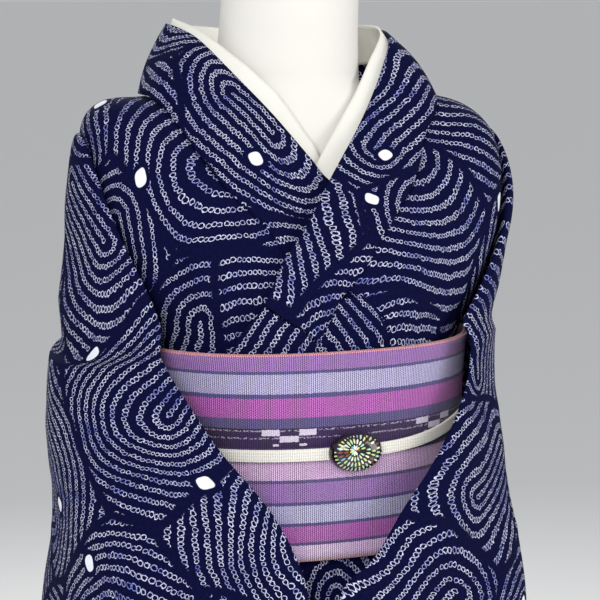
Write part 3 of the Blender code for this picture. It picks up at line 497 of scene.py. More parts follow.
def printed_cotton(colours, sizes):
    """Indigo cotton, piece-dyed and printed with lines of small tied rings: matt, with a fine plain weave.

    The cloth is divided into cells. In each, lines run round a core, a short straight line of random place,
    turn and length, as rings round a stone do, and each line is a chain of small ovals. Here and there sits a
    white rounded spot, and the rings leave room for it.
    """
    pitch, step = sizes.line_pitch, sizes.ring_pitch
    rows = (
        CLOTH_MAP,
        ("sway", "TexNoise", FLAT_NOISE, {"Vector": "flat", "Scale": 8.0, "Detail": 1.0}),
        ("sway_mid", VECTOR, {"operation": "SUBTRACT"}, {0: "sway.Color", 1: (0.5, 0.5, 0.5)}),
        ("sway_far", VECTOR, {"operation": "SCALE"}, {0: "sway_mid", "Scale": 0.046}),
        ("shake", "TexNoise", FLAT_NOISE, {"Vector": "flat", "Scale": 70.0, "Detail": 1.0}),
        ("shake_mid", VECTOR, {"operation": "SUBTRACT"}, {0: "shake.Color", 1: (0.5, 0.5, 0.5)}),
        ("shake_far", VECTOR, {"operation": "SCALE"}, {0: "shake_mid", "Scale": 0.0022}),
        ("swayed", VECTOR, {"operation": "ADD"}, {0: "flat", 1: "sway_far"}),
        ("place", VECTOR, {"operation": "ADD"}, {0: "swayed", 1: "shake_far"}),
        ("cell", "TexVoronoi", {"voronoi_dimensions": "2D"},
         {"Vector": "place", "Scale": sizes.cells_per_metre, "Randomness": 0.85}),
        ("border", "TexVoronoi", {"voronoi_dimensions": "2D", "feature": "DISTANCE_TO_EDGE"},
         {"Vector": "place", "Scale": sizes.cells_per_metre, "Randomness": 0.85}),
        ("chance", "SeparateColor", {}, {0: "cell.Color"}),
        ("from_centre", VECTOR, {"operation": "SUBTRACT"}, {0: "place", 1: "cell.Position"}),
        ("turn", "MULTIPLY", "chance.Red", 2 * pi),
        ("turned", "VectorRotate", {"rotation_type": "Z_AXIS"}, {"Vector": "from_centre", "Angle": "turn"}),
        ("local", "SeparateXYZ", {}, {0: "turned"}),
        # Distance from the core: a straight line of half length reach, shifted along itself and aside
        ("reach", "MULTIPLY_ADD", "chance.Green", 0.036, 0.008),
        ("reach_back", "MULTIPLY", "reach", -1.0),
        ("shift", "MULTIPLY_ADD", "chance.Blue", 0.05, -0.025),
        ("x", "ADD", "local.X", "shift"),
        ("aside", "MULTIPLY_ADD", "chance.Green", 0.05, -0.025),
        ("y", "ADD", "local.Y", "aside"),
        ("y_far", "ABSOLUTE", "y"),
        ("x_low", "MAXIMUM", "x", "reach_back"),
        ("on_core", "MINIMUM", "x_low", "reach"),
        ("past", "SUBTRACT", "x", "on_core"),
        ("past_2", "MULTIPLY", "past", "past"),
        ("far_2", "MULTIPLY_ADD", "y", "y", "past_2"),
        ("far", "SQRT", "far_2"),
        # Number of the line, and how far the point lies from the middle of that line
        ("pitch", "MULTIPLY_ADD", "chance.Blue", 0.35 * pitch, 0.85 * pitch),
        ("line_near", "DIVIDE", "far", "pitch"),
        ("line", "ROUND", "line_near"),
        ("line_far", "MULTIPLY", "line", "pitch"),
        ("off_line", "SUBTRACT", "far", "line_far"),
        # Distance along the line, round its bends, and the number of the ring there
        ("bend", "ARCTAN2", "past", "y_far"),
        ("along_bend", "MULTIPLY", "bend", "line_far"),
        ("along", "ADD", "on_core", "along_bend"),
        ("ring_near", "DIVIDE", "along", step),
        ("ring", "ROUND", "ring_near"),
        ("ring_far", "MULTIPLY", "ring", step),
        ("off_ring", "SUBTRACT", "along", "ring_far"),
        ("side", "SIGN", "y"),
        ("ring_name", "MULTIPLY_ADD", "side", 37.0, "ring"),
        ("line_name", "MULTIPLY_ADD", "chance.Red", 991.0, "line"),
        ("names", "CombineXYZ", {}, {"X": "ring_name", "Y": "line_name", "Z": "chance.Blue"}),
        ("odd", "TexWhiteNoise", {"noise_dimensions": "3D"}, {"Vector": "names"}),
        ("odds", "SeparateColor", {}, {0: "odd.Color"}),
        # Each ring is an oval of its own size, a little out of place
        ("slip_along", "MULTIPLY_ADD", "odds.Red", 0.0009, -0.00045),
        ("slip_across", "MULTIPLY_ADD", "odds.Green", 0.0012, -0.0006),
        ("ring_x", "ADD", "off_ring", "slip_along"),
        ("ring_y", "ADD", "off_line", "slip_across"),
        ("ring_size", "MULTIPLY_ADD", "odds.Blue", 0.24, 0.88),
        ("half_x", "MULTIPLY", "ring_size", sizes.ring_width / 2),
        ("half_y", "MULTIPLY", "ring_size", sizes.ring_height / 2),
        ("dent", "TexNoise", FLAT_NOISE, {"Vector": "flat", "Scale": 520.0, "Detail": 1.0}),
        ("dents", "SeparateColor", {}, {0: "dent.Color"}),
        ("dent_x", "MULTIPLY_ADD", "dents.Red", 0.0012, -0.0006),
        ("dent_y", "MULTIPLY_ADD", "dents.Green", 0.0012, -0.0006),
        ("dented_x", "ADD", "ring_x", "dent_x"),
        ("dented_y", "ADD", "ring_y", "dent_y"),
        ("share_x", "DIVIDE", "dented_x", "half_x"),
        ("share_y", "DIVIDE", "dented_y", "half_y"),
        ("share_x_2", "MULTIPLY", "share_x", "share_x"),
        ("share_2", "MULTIPLY_ADD", "share_y", "share_y", "share_x_2"),
        ("share", "SQRT", "share_2"),
        ("off_stroke", "SUBTRACT", "share", 1.0),
        ("stroke_far", "ABSOLUTE", "off_stroke"),
        ("fray", "TexNoise", FLAT_NOISE, {"Vector": "flat", "Scale": 900.0, "Detail": 2.0}),
        ("stroke_edge", "MULTIPLY_ADD", "fray", 0.20, sizes.ring_stroke),
        ("stroke_full", "SUBTRACT", "stroke_edge", 0.12),
        ("stroke", "MapRange", {"interpolation_type": "SMOOTHSTEP"},
         {"Value": "stroke_far", "From Min": "stroke_edge", "From Max": "stroke_full", "To Min": 0.0,
          "To Max": 1.0}),
        # Where one cell ends and the next begins the lines stop
        ("open", "MapRange", {}, {"Value": "border", "From Min": 0.020, "From Max": 0.030}),
        # White spots in some cells of a finer division
        ("spot_cell", "TexVoronoi", {"voronoi_dimensions": "2D"},
         {"Vector": "swayed", "Scale": sizes.spots_per_metre, "Randomness": 0.9}),
        ("spot_chance", "SeparateColor", {}, {0: "spot_cell.Color"}),
        ("spot_from", VECTOR, {"operation": "SUBTRACT"}, {0: "swayed", 1: "spot_cell.Position"}),
        ("spot_turn", "MULTIPLY", "spot_chance.Green", pi),
        ("spot_turned", "VectorRotate", {"rotation_type": "Z_AXIS"},
         {"Vector": "spot_from", "Angle": "spot_turn"}),
        ("spot_local", "SeparateXYZ", {}, {0: "spot_turned"}),
        ("spot_x_far", "ABSOLUTE", "spot_local.X"),
        ("spot_y_far", "ABSOLUTE", "spot_local.Y"),
        ("spot_x_share", "DIVIDE", "spot_x_far", 0.0052),
        ("spot_y_share", "DIVIDE", "spot_y_far", 0.0062),
        ("spot_x_pow", "POWER", "spot_x_share", 2.8),
        ("spot_y_pow", "POWER", "spot_y_share", 2.8),
        ("spot_pow", "ADD", "spot_x_pow", "spot_y_pow"),
        ("spot_far", "POWER", "spot_pow", 1 / 2.8),
        ("spot_rough", "MULTIPLY_ADD", "shake", 0.5, "spot_far"),
        ("is_spot", "LESS_THAN", "spot_chance.Red", sizes.spot_share),
        ("spot_body", "MapRange", {"interpolation_type": "SMOOTHSTEP"},
         {"Value": "spot_rough", "From Min": 1.30, "From Max": 1.18}),
        ("spot", "MULTIPLY", "spot_body", "is_spot"),
        ("spot_room", "LESS_THAN", "spot_rough", 1.95),
        ("spot_taken", "MULTIPLY", "spot_room", "is_spot"),
        ("free", "SUBTRACT", 1.0, "spot_taken"),
        ("lined", "MULTIPLY", "stroke", "open"),
        ("printed", "MULTIPLY", "lined", "free"),
        # Dye: bright and dim rings, and slightly uneven indigo
        ("patch", "TexNoise", FLAT_NOISE, {"Vector": "flat", "Scale": 22.0, "Detail": 2.0}),
        ("ring_light", "MULTIPLY_ADD", "odd", 0.45, "patch"),
        ("ring_shade", "MapRange", {}, {"Value": "ring_light", "From Min": 0.35, "From Max": 0.80}),
        ("dye_patch", "TexNoise", FLAT_NOISE, {"Vector": "flat", "Scale": 420.0, "Detail": 3.0}),
        ("ground", "Mix", {"data_type": "RGBA"},
         {0: "dye_patch", 6: (*colours.indigo_dark, 1.0), 7: (*colours.indigo_light, 1.0)}),
        ("ring_dye", "Mix", {"data_type": "RGBA"},
         {0: "ring_shade", 6: (*colours.print_dim, 1.0), 7: (*colours.print_bright, 1.0)}),
        ("ringed", "Mix", {"data_type": "RGBA"},
         {0: "printed", 6: "ground.2", 7: "ring_dye.2"}),
        ("colour", "Mix", {"data_type": "RGBA"},
         {0: "spot", 6: "ringed.2", 7: (*colours.print_white, 1.0)}),
    ) + thread_rows(COARSE_THREAD, 0.00018)
    return finish("indigo cotton, plain weave, printed", rows, Base_Color="colour.2", Normal="bump",
                  Roughness=0.92, Specular_IOR_Level=0.06)


def plain_cotton():
    """White collar cotton, bleached and pressed: matt and bright, its weave only just there."""
    rows = (
        CLOTH_MAP,
        *thread_rows(0.0009, 0.00010, 0.35),
        ("patch", "TexNoise", FLAT_NOISE, {"Vector": "flat", "Scale": 30.0, "Detail": 3.0}),
        ("colour", "Mix", {"data_type": "RGBA"}, {0: "patch", 6: linear("#f1efe6"), 7: linear("#e8e6dc")}),
    )
    return finish("white cotton, pressed", rows, Base_Color="colour.2", Normal="bump", Roughness=0.82,
                  Sheen_Weight=0.10, Sheen_Roughness=0.4, Specular_IOR_Level=0.3)


SASH_HEIGHT = 0.160
RIB = 0.0016  # metres between the sash's ribs
# Stripes of the sash from its top edge down: where each starts as a share of its height, and its dye
SASH_STRIPES = (
    (0.000, "#e39a9f"), (0.010, "#9a70af"), (0.095, "#5a5284"), (0.112, "#b0a8cc"), (0.206, "#5a5286"),
    (0.224, "#b060ac"), (0.312, "#5f5482"), (0.352, "#38264f"), (0.440, "#4a3a62"), (0.500, "#d0acd2"),
    (0.590, "#5f5482"), (0.606, "#9a74b2"), (0.696, "#5a5286"), (0.713, "#b4aed0"), (0.797, "#5a5286"),
    (0.816, "#b266b2"), (0.898, "#5f5482"), (0.914, "#dcbde2"), (0.988, "#e6b0bc"),
)
# White blocks of the dark stripe, within one repeat along the sash: middle along in metres, middle down as a
# share of the height, half length and half height
TIED_REPEAT = 0.127
TIED_BLOCKS = (
    (0.0290, 0.374, 0.0066, 0.0135), (0.0430, 0.402, 0.0072, 0.0135), (0.0572, 0.374, 0.0066, 0.0135),
    (0.0330, 0.428, 0.0022, 0.0050), (0.0535, 0.428, 0.0028, 0.0050),
)


def striped_weave():
    """The sash, a ribbed band of spun silk and cotton: dull sheen, upright ribs, stripes along it, and in its
    dark middle stripe dashes and blocks of white, where the thread was tied before it was dyed."""
    rows = [
        CLOTH_MAP,
        ("cross", "SeparateXYZ", {}, {0: "flat"}),
        ("shake", "TexNoise", FLAT_NOISE, {"Vector": "flat", "Scale": 600.0, "Detail": 2.0}),
        ("shaken", "MULTIPLY_ADD", "shake", 0.0010, "cross.Y"),
        ("down", "DIVIDE", "shaken", SASH_HEIGHT),
        ("stripes", "ValToRGB", {"stops": SASH_STRIPES}, {0: "down"}),
        # Ribs: upright rounded rows, with the weft turning over them like bricks
        ("rib_turn", "MULTIPLY", "cross.X", 2 * pi / RIB),
        ("rib_wave", "SINE", "rib_turn"),
        ("rib_count", "MULTIPLY", "cross.X", 1 / RIB),
        ("rib_number", "FLOOR", "rib_count"),
        ("brick", "MULTIPLY", "rib_number", pi),
        ("weft_turn", "MULTIPLY_ADD", "cross.Y", 2 * pi / 0.0017, "brick"),
        ("weft_wave", "SINE", "weft_turn"),
        ("weave_height", "MULTIPLY_ADD", "weft_wave", 0.60, "rib_wave"),
        ("bump", "Bump", {}, {"Height": "weave_height", "Distance": 0.00025, "Strength": 0.7}),
        # Threads of slightly different tone, and painted shade that darkens the hollows between the ribs
        ("thread_place", "CombineXYZ", {}, {"X": "rib_count", "Y": "rib_number"}),
        ("thread_odd", "TexNoise", FLAT_NOISE,
         {"Vector": "thread_place", "Scale": 0.9, "Detail": 2.0}),
        ("rough_place", VECTOR, {"operation": "MULTIPLY"}, {0: "flat", 1: (120.0, 1500.0, 1.0)}),
        ("streak", "TexNoise", FLAT_NOISE, {"Vector": "rough_place", "Scale": 1.0}),
        # Painted shade: the colour is darker where the ribs' height is low
        ("hollow", "MULTIPLY_ADD", "weave_height", 0.52, 0.93),
        ("tone", "MULTIPLY_ADD", "thread_odd", 0.34, "hollow"),
        ("toned", "MULTIPLY_ADD", "streak", 0.36, "tone"),
        ("level_free", "SUBTRACT", "toned", 0.33),
        ("level", "MAXIMUM", "level_free", 0.12),
        ("grey", "CombineColor", {}, {0: "level", 1: "level", 2: "level"}),
        # Stripe dye times the thread tone and the painted shade of the hollows
        ("cloth_dye", "Mix", {"data_type": "RGBA", "blend_type": "MULTIPLY"},
         {0: 1.0, 6: "stripes", 7: "grey"}),
        # The tied white: dashes on two levels all along, and three blocks in each repeat
        ("frayed", "MULTIPLY_ADD", "streak", 0.0024, "cross.X"),
        ("repeat_place", "ADD", "frayed", 0.0860),
        ("in_repeat", "FLOORED_MODULO", "repeat_place", TIED_REPEAT),
        ("dash_place", VECTOR, {"operation": "MULTIPLY"}, {0: "flat", 1: (420.0, 900.0, 1.0)}),
        ("dash_odd", "TexNoise", FLAT_NOISE, {"Vector": "dash_place", "Scale": 1.0}),
        ("dash_on", "GREATER_THAN", "dash_odd", 0.50),
        ("dash_high", "COMPARE", "down", 0.366, 0.0032),
        ("dash_low", "COMPARE", "down", 0.398, 0.0032),
        ("dash_level", "MAXIMUM", "dash_high", "dash_low"),
        ("dash", "MULTIPLY", "dash_on", "dash_level"),
        ("tied_0", "MULTIPLY", "dash", 0.55),
    ]
    for number, (place, down, half_length, half_height) in enumerate(TIED_BLOCKS):
        rows += [
            (f"block_u_{number}", "COMPARE", "in_repeat", place, half_length),
            (f"block_v_{number}", "COMPARE", "down", down, half_height),
            (f"block_{number}", "MULTIPLY", f"block_u_{number}", f"block_v_{number}"),
            (f"tied_{number + 1}", "MAXIMUM", f"block_{number}", f"tied_{number}"),
        ]
    rows.append(("colour", "Mix", {"data_type": "RGBA"},
                 {0: f"tied_{len(TIED_BLOCKS)}", 6: "cloth_dye.2", 7: linear("#d6cce0")}))
    return finish("silk and cotton sash weave, ribbed", rows, Base_Color="colour.2", Normal="bump",
                  Roughness=0.68, Sheen_Weight=0.25, Sheen_Roughness=0.35, Specular_IOR_Level=0.35)


def flat_braid():
    """The cord over the sash, a flat braid of cream silk: soft gleam and fine ribs across it, with painted
    shade in their hollows.
    """
    rows = (
        CLOTH_MAP,
        ("cross", "SeparateXYZ", {}, {0: "flat"}),
        ("rib_turn", "MULTIPLY", "cross.X", 2 * pi / 0.0016),
        ("rib_wave", "SINE", "rib_turn"),
        ("plait_turn", "MULTIPLY", "cross.Y", 2 * pi / 0.0022),
        ("plait_wave", "SINE", "plait_turn"),
        ("height", "MULTIPLY_ADD", "plait_wave", 0.4, "rib_wave"),
        ("bump", "Bump", {}, {"Height": "height", "Distance": 0.00022, "Strength": 0.6}),
        # Painted shade: the colour darkens towards the low parts of the ribs and plaits
        ("shade", "MapRange", {}, {"Value": "height", "From Min": -1.4, "From Max": 1.0}),
        ("colour", "Mix", {"data_type": "RGBA"}, {0: "shade", 6: linear("#d2cec2"), 7: linear("#faf7ee")}),
    )
    return finish("cream silk flat braid", rows, Base_Color="colour.2", Normal="bump", Roughness=0.5,
                  Sheen_Weight=0.2, Sheen_Roughness=0.3)


def inlaid_lacquer():
    """Black lacquer dome inlaid with strokes of shell and tinted foil, in rings round a point off its middle:
    a deep clear gloss."""
    rows = (
        CLOTH_MAP,
        ("from_star", VECTOR, {"operation": "SUBTRACT"}, {0: "flat", 1: (-0.0045, 0.0035, 0.0)}),
        ("part", "SeparateXYZ", {}, {0: "from_star"}),
        ("far", VECTOR, {"operation": "LENGTH"}, {0: "from_star"}),
        ("turn", "ARCTAN2", "part.Y", "part.X"),
        ("ring_near", "DIVIDE", "far.Value", 0.0044),
        ("ring", "FLOOR", "ring_near"),
        ("in_ring", "SUBTRACT", "ring_near", "ring"),
        ("off_middle", "SUBTRACT", "in_ring", 0.52),
        ("radial", "DIVIDE", "off_middle", 0.42),
        ("count", "MULTIPLY_ADD", "ring", 7.0, 11.0),
        ("sector_size", "DIVIDE", 2 * pi, "count"),
        ("stagger", "MULTIPLY", "ring", 0.5),
        ("sector_near", "DIVIDE", "turn", "sector_size"),
        ("sector_place", "ADD", "sector_near", "stagger"),
        ("sector", "ROUND", "sector_place"),
        ("off_sector", "SUBTRACT", "sector_place", "sector"),
        ("off_arc", "MULTIPLY", "off_sector", "sector_size"),
        ("off_metres", "MULTIPLY", "off_arc", "far.Value"),
        ("taper", "MULTIPLY_ADD", "in_ring", 0.00045, 0.00042),
        ("sideways", "DIVIDE", "off_metres", "taper"),
        ("radial_2", "MULTIPLY", "radial", "radial"),
        ("stroke_2", "MULTIPLY_ADD", "sideways", "sideways", "radial_2"),
        ("stroke", "LESS_THAN", "stroke_2", 1.0),
        ("wrapped", "FLOORED_MODULO", "sector", "count"),
        ("names", "CombineXYZ", {}, {"X": "ring", "Y": "wrapped"}),
        ("odd", "TexWhiteNoise", {"noise_dimensions": "2D"}, {"Vector": "names"}),
        ("inlay", "ValToRGB", {"stops": (
            (0.00, "#e2e69a"), (0.30, "#fbf8e6"), (0.46, "#b7e6d4"), (0.60, "#c9e08e"), (0.78, "#8f4a3c"),
            (0.86, "#7fb4e0"), (0.92, "#0a080c"),
        )}, {0: "odd"}),
        ("whole", VECTOR, {"operation": "DIVIDE"},
         {0: "flat", 1: (BROOCH_WIDTH / 2, BROOCH_HEIGHT / 2, 1.0)}),
        ("rim_far", VECTOR, {"operation": "LENGTH"}, {0: "whole"}),
        ("inside", "LESS_THAN", "rim_far.Value", 0.90),
        ("shown", "MULTIPLY", "stroke", "inside"),
        ("colour", "Mix", {"data_type": "RGBA"}, {0: "shown", 6: linear("#0a080c"), 7: "inlay"}),
    )
    return finish("black lacquer with shell inlay", rows, Base_Color="colour.2", Roughness=0.18,
                  Coat_Weight=0.8, Coat_Roughness=0.05)


def form_cover():
    """Stretch jersey over foam: matt off-white, with the faintest knit."""
    rows = (
        ("place", "TexCoord", {}, {}),
        ("knit", "TexNoise", {}, {"Vector": "place.Object", "Scale": 900.0, "Detail": 2.0}),
        ("patch", "TexNoise", {}, {"Vector": "place.Object", "Scale": 9.0, "Detail": 3.0}),
        ("bump", "Bump", {}, {"Height": "knit", "Distance": 0.00012, "Strength": 0.25}),
        ("colour", "Mix", {"data_type": "RGBA"}, {0: "patch", 6: linear("#efece6"), 7: linear("#e6e2da")}),
    )
    return finish("cotton jersey, off-white", rows, Base_Color="colour.2", Normal="bump", Roughness=0.75,
                  Sheen_Weight=0.1, Sheen_Roughness=0.5)


def brushed_steel():
    """Satin steel, brushed round: a grey metal with fine streaks in its gloss."""
    rows = (
        ("place", "TexCoord", {}, {}),
        ("stretch", "Mapping", {}, {"Vector": "place.Object", "Scale": (30.0, 30.0, 900.0)}),
        ("streak", "TexNoise", {}, {"Vector": "stretch", "Scale": 1.0, "Detail": 4.0}),
        ("rough", "MapRange", {}, {"Value": "streak", "To Min": 0.26, "To Max": 0.42}),
        ("bump", "Bump", {}, {"Height": "streak", "Distance": 0.00006, "Strength": 0.3}),
        ("colour", "Mix", {"data_type": "RGBA"}, {0: "streak", 6: linear("#9c9ea2"), 7: linear("#b6b8bb")}),
    )
    return finish("satin steel", rows, Base_Color="colour.2", Roughness="rough", Normal="bump", Metallic=1.0)


# Points up the okumi seam, along the collar seam and down the back
STEPS_UP, STEPS_OVER, STEPS_DOWN = 48, 96, 84


def front_edge(side):
    """Inner edge of a body strip: up the okumi seam, along the collar seam to the nape and down the back."""
    seam, okumi, top = (SEAM_LEFT, OKUMI_LEFT, 7) if side > 0 else (SEAM_RIGHT, OKUMI_RIGHT, 8)
    up = smooth(okumi, np.linspace(4, 0, STEPS_UP, endpoint=False))
    over = smooth(seam, np.linspace(top, 0, STEPS_OVER, endpoint=False))
    down = np.linspace((180.0 * side, seam[0, 1]), (180.0 * side, 9.0), STEPS_DOWN)
    return np.concatenate([up, over, down])


# Creases of the bodice: angle and row of each end, half width in degrees, height in metres
CREASES = (
    (-34.0, 3.3, -45.0, 5.7, 3.2, 0.0026), (-27.0, 4.8, -43.0, 5.8, 3.0, 0.0020),
    (-40.0, 3.6, -34.0, 5.2, 2.2, 0.0014), (33.0, 3.3, 42.0, 5.6, 3.2, 0.0024),
    (20.0, 5.0, 40.0, 5.85, 3.2, 0.0020), (40.0, 3.8, 33.0, 5.4, 2.2, 0.0014),
)


def bodice_relief(angle, row):
    """Small soft folds of the bodice: a low waviness of the cloth, drags above the sash, and creases."""
    place = surface(angle, row)
    low = 0.0007 * waves(place, 11, 0.11) + 0.00035 * waves(place, 12, 0.035)
    drag = 0.0006 * np.sin(np.radians(angle) * 26.0 + 1.5 * np.sin(row * 2.0)) * hump(row, 5.6, 0.7)
    for start_angle, start_row, end_angle, end_row, width, height in CREASES:
        share = (row - start_row) / (end_row - start_row)
        aside = angle - (start_angle + (end_angle - start_angle) * share)
        drag = drag + height * hump(aside, 0.0, width) * eased(share, 0.0, 0.4) * (1 - eased(share, 0.6, 1.0))
    return low + drag


def body_strip(side):
    """Points of one strip: a share of the way from its inner to its outer edge, at each station along it."""
    steps = STEPS_UP + STEPS_OVER + STEPS_DOWN
    outer = smooth(SIDE_EDGE * (side, 1), np.linspace(0, len(SIDE_EDGE) - 1, steps))
    angle, row = between(front_edge(side), outer, 236, 36, -0.0030, -0.0010)
    out = side_lift(side, angle, row) + cloth_ripple(angle, row) + bodice_relief(angle, row)
    return point(angle, row, out)


def gore(side):
    """Points of an okumi gore above the tuck, between the collar's seam and the front's."""
    seam, top = (SEAM_LEFT, 7) if side > 0 else (SEAM_RIGHT, 8)
    on_seam = smooth(seam, np.linspace(len(seam) - 1, top + 0.20, 40))
    on_okumi = smooth(OKUMI_LEFT if side > 0 else OKUMI_RIGHT, np.linspace(4, 0.20, 40))
    angle, row = between(on_seam, on_okumi, 60, 16, -0.0030, 0.0012)
    out = side_lift(side, angle, row) + cloth_ripple(angle, row) + bodice_relief(angle, row)
    return point(angle, row, out)


SKIRT_TOP, SKIRT_FOOT = 8.35, 14.97  # rows: from under the sash to the hem
SEAM_GAP = 0.11  # degrees at each seam
# Skirt panels: node, first and last angle, how far out each side lies, steps round
SKIRT_PANELS = (
    ("skirt_back_left", 90.0 + SEAM_GAP, 180.0 - SEAM_GAP, OUT_SKIRT, OUT_SKIRT, 40),
    ("skirt_back_right", -180.0 + SEAM_GAP, -90.0 - SEAM_GAP, OUT_SKIRT, OUT_SKIRT, 40),
    ("skirt_front_left", -22.0 + SEAM_GAP, 90.0 - SEAM_GAP, OUT_SKIRT, OUT_SKIRT, 48),
    ("skirt_gore_left", -52.0, -22.0 - SEAM_GAP, OUT_SKIRT, OUT_SKIRT, 16),
    ("skirt_front_right", -90.0 + SEAM_GAP, 20.0 - SEAM_GAP, OUT_SKIRT, OUT_SKIRT_UNDER, 48),
    ("skirt_gore_right", 20.0 + SEAM_GAP, 50.0, OUT_SKIRT_UNDER, OUT_SKIRT_UNDER, 16),
)


def skirt_flute(angle, row):
    """Soft upright folds that open towards the hem."""
    depth = np.clip((row - 9.5) / 5.0, 0, 1)
    wide = 0.0045 * np.sin(np.radians(angle * 5.0 + 30.0))
    return depth * (wide + 0.002 * np.sin(np.radians(angle * 9.0)))


def skirt_panel(start, stop, out_start, out_stop, columns):
    """Points of a panel of the skirt, between two angles, from under the sash to the hem."""
    down, round_body = np.linspace(SKIRT_TOP, SKIRT_FOOT, 104), np.linspace(start, stop, columns)
    row, angle = np.meshgrid(down, round_body, indexing="ij")
    out = out_start + (out_stop - out_start) * eased(angle, -84.0, -62.0)
    low = 0.0006 * waves(surface(angle, row), 21, 0.16)
    return point(angle, row, out + skirt_flute(angle, row) + low)


def collar_sheet(side, t, w, lifted=True):
    """The collar's base from its seam (w = 0) to its free edge (w = 1) at stations t: straight across round
    the neck, and lying on the chest below the throat."""
    left = side > 0
    seam = SEAM_LEFT if left else SEAM_RIGHT
    neck = EDGE_LEFT_NECK if left else EDGE_RIGHT_NECK
    chest = EDGE_LEFT_CHEST if left else EDGE_RIGHT_CHEST
    edge_lift = OUT_OVER if left and lifted else 0.0
    on_seam = smooth(seam, t)
    seam_lift = side_lift(side, on_seam[:, 0], on_seam[:, 1]) if lifted else 0.0 * t
    low = point(on_seam[:, 0], on_seam[:, 1], seam_lift)
    edge = np.concatenate([neck, point(chest[:, 0], chest[:, 1], edge_lift)])
    high = smooth(edge, t)
    straight = low[:, None] + (high - low)[:, None] * w[..., None]
    on_chest = smooth(chest, t - len(neck))
    both = on_seam[:, None] + (on_chest - on_seam)[:, None] * w[..., None]
    lift = seam_lift[:, None] + (edge_lift - seam_lift)[:, None] * w
    lying = point(both[..., 0], both[..., 1], lift)
    chest_share = np.clip(t - len(neck), 0, 1)[:, None, None]
    return straight + (lying - straight) * chest_share


def raised(side, sheet, rise):
    """A collar sheet moved out from the body by a distance."""
    return sheet + normals(sheet) * side * rise[..., None]


def collar_band(side, first, last, lengthwise, across):
    """The folded collar between two stations of its seam, full round the neck and flat on the chest."""
    t = np.linspace(first, last, lengthwise)
    start = np.interp(t, [5.0, 6.5], [0.0023, 0.0005]) / 0.058
    w = start[:, None] + (1 - start)[:, None] * np.linspace(0, 1, across)
    full = 0.004 * np.sin(pi * w) * np.clip(1.5 - abs(t[:, None] - 3.4) / 2.4, 0, 1)
    crossing = 0.003 * hump(t[:, None], 6.3, 1.0) * w if side > 0 else 0.0
    sheet = collar_sheet(side, t, w)
    soft = 0.00045 * waves(sheet, 31, 0.06)
    return raised(side, sheet, COLLAR_RISE + full + crossing + soft)


def inner_band(side, lengthwise, across):
    """The inner collar follows the collar from inside and shows past its free edge, more in front."""
    t = np.linspace(0, 6.0 if side > 0 else 6.8, lengthwise)
    show = np.interp(t, [0, 2, 3, 4, 5], [0.10, 0.10, 0.12, 0.20, 0.26])
    w = np.linspace(0.45, 1.0, across)[None, :] * (1 + show[:, None])
    deep = INNER_COLLAR_DEEP if side < 0 else 0.0
    under = np.interp(t, [4.3, 5.8], [0.0, deep])[:, None]
    return raised(side, collar_sheet(side, t, w, lifted=False), -INNER_COLLAR_DROP - under + 0 * w)


def nape_to_nape(right, left):
    """Joins the strip of the wearer's right side to that of the left at the nape."""
    return np.concatenate([right[::-1], left[1:]])


def sleeve_points(side, lengthwise, around):
    """A sleeve is a flattened tube: rings from the armhole down, each a loop round a middle line that
    follows the body from its front fold to its back fold. Soft folds run down its outer wall."""
    table = SLEEVE_LEFT if side > 0 else SLEEVE_RIGHT
    k = np.linspace(0, len(table) - 1, lengthwise)[:, None]
    turn = 2 * pi * np.arange(around)[None, :] / around
    front, back, row, drop, slant, depth = np.moveaxis(smooth(table, k[:, 0])[:, None], -1, 0)
    share = np.arcsin(0.96 * np.sin(turn)) / np.arcsin(0.96)
    angle = (front + back) / 2 - (back - front) / 2 * share
    row = row + drop * np.cos(turn) - slant * share
    outer = (1 - np.cos(turn)) / 2
    sharp, gentle = (np.interp(row, CLEARANCE[:, 0], CLEARANCE[:, column]) for column in (1, 2))
    clear = (sharp + (gentle - sharp) * outer) * np.clip(k / 0.6, 0, 1)
    roll = 0.001 * np.sin(pi * outer) * np.clip(k / 4, 0, 1)
    folds = 0.0032 * np.sin(np.radians(angle) * 7.0 + 0.8 * k) * outer * np.clip((k - 2) / 3, 0, 1)
    angle = side * angle
    soft = 0.0010 * waves(surface(angle, row), 41 + side, 0.09) * outer * np.clip(k / 2, 0, 1)
    lift = side_lift(side, angle, row) + cloth_ripple(angle, row) * np.clip(1 - k / 4, 0, 1)
    out = SLEEVE_OFF + lift + clear + np.maximum(depth, 0.0) * outer + folds + roll + soft
    return point(angle, row, out)


SASH_TOP, SASH_FOOT = 6.02, 7.98  # rows


def sash_points():
    """One band wound twice, from the back and round to the back again, and its metres along and down."""
    turn = np.linspace(0, 360.0 * SASH_TURNS, 320)
    row, turn = np.meshgrid(np.linspace(SASH_TOP, SASH_FOOT, 24), turn, indexing="ij")
    place = surface(turn, row)
    out = OUT_SASH + SASH_PITCH * turn / 360.0
    out = out + 0.00025 * waves(place, 51, 0.12) * np.sin(pi * (row - SASH_TOP) / (SASH_FOOT - SASH_TOP))
    points = point(180.0 + turn, row, out)
    middle = points[12]
    u = np.concatenate([[0], np.cumsum(np.linalg.norm(np.diff(middle, axis=0), axis=-1))])
    u = u - np.interp(540.0, turn[12], u)
    v = (row - SASH_TOP) / (SASH_FOOT - SASH_TOP) * SASH_HEIGHT
    return points, np.stack([np.broadcast_to(u, row.shape), v], -1)


BOW_CENTRE_Z = 1.052
BOW_BACK = 0.1135  # just behind the cord where it passes under the bow
KNOT_HALF_WIDTH, KNOT_HALF_HEIGHT, KNOT_DEPTH = 0.030, 0.046, 0.026


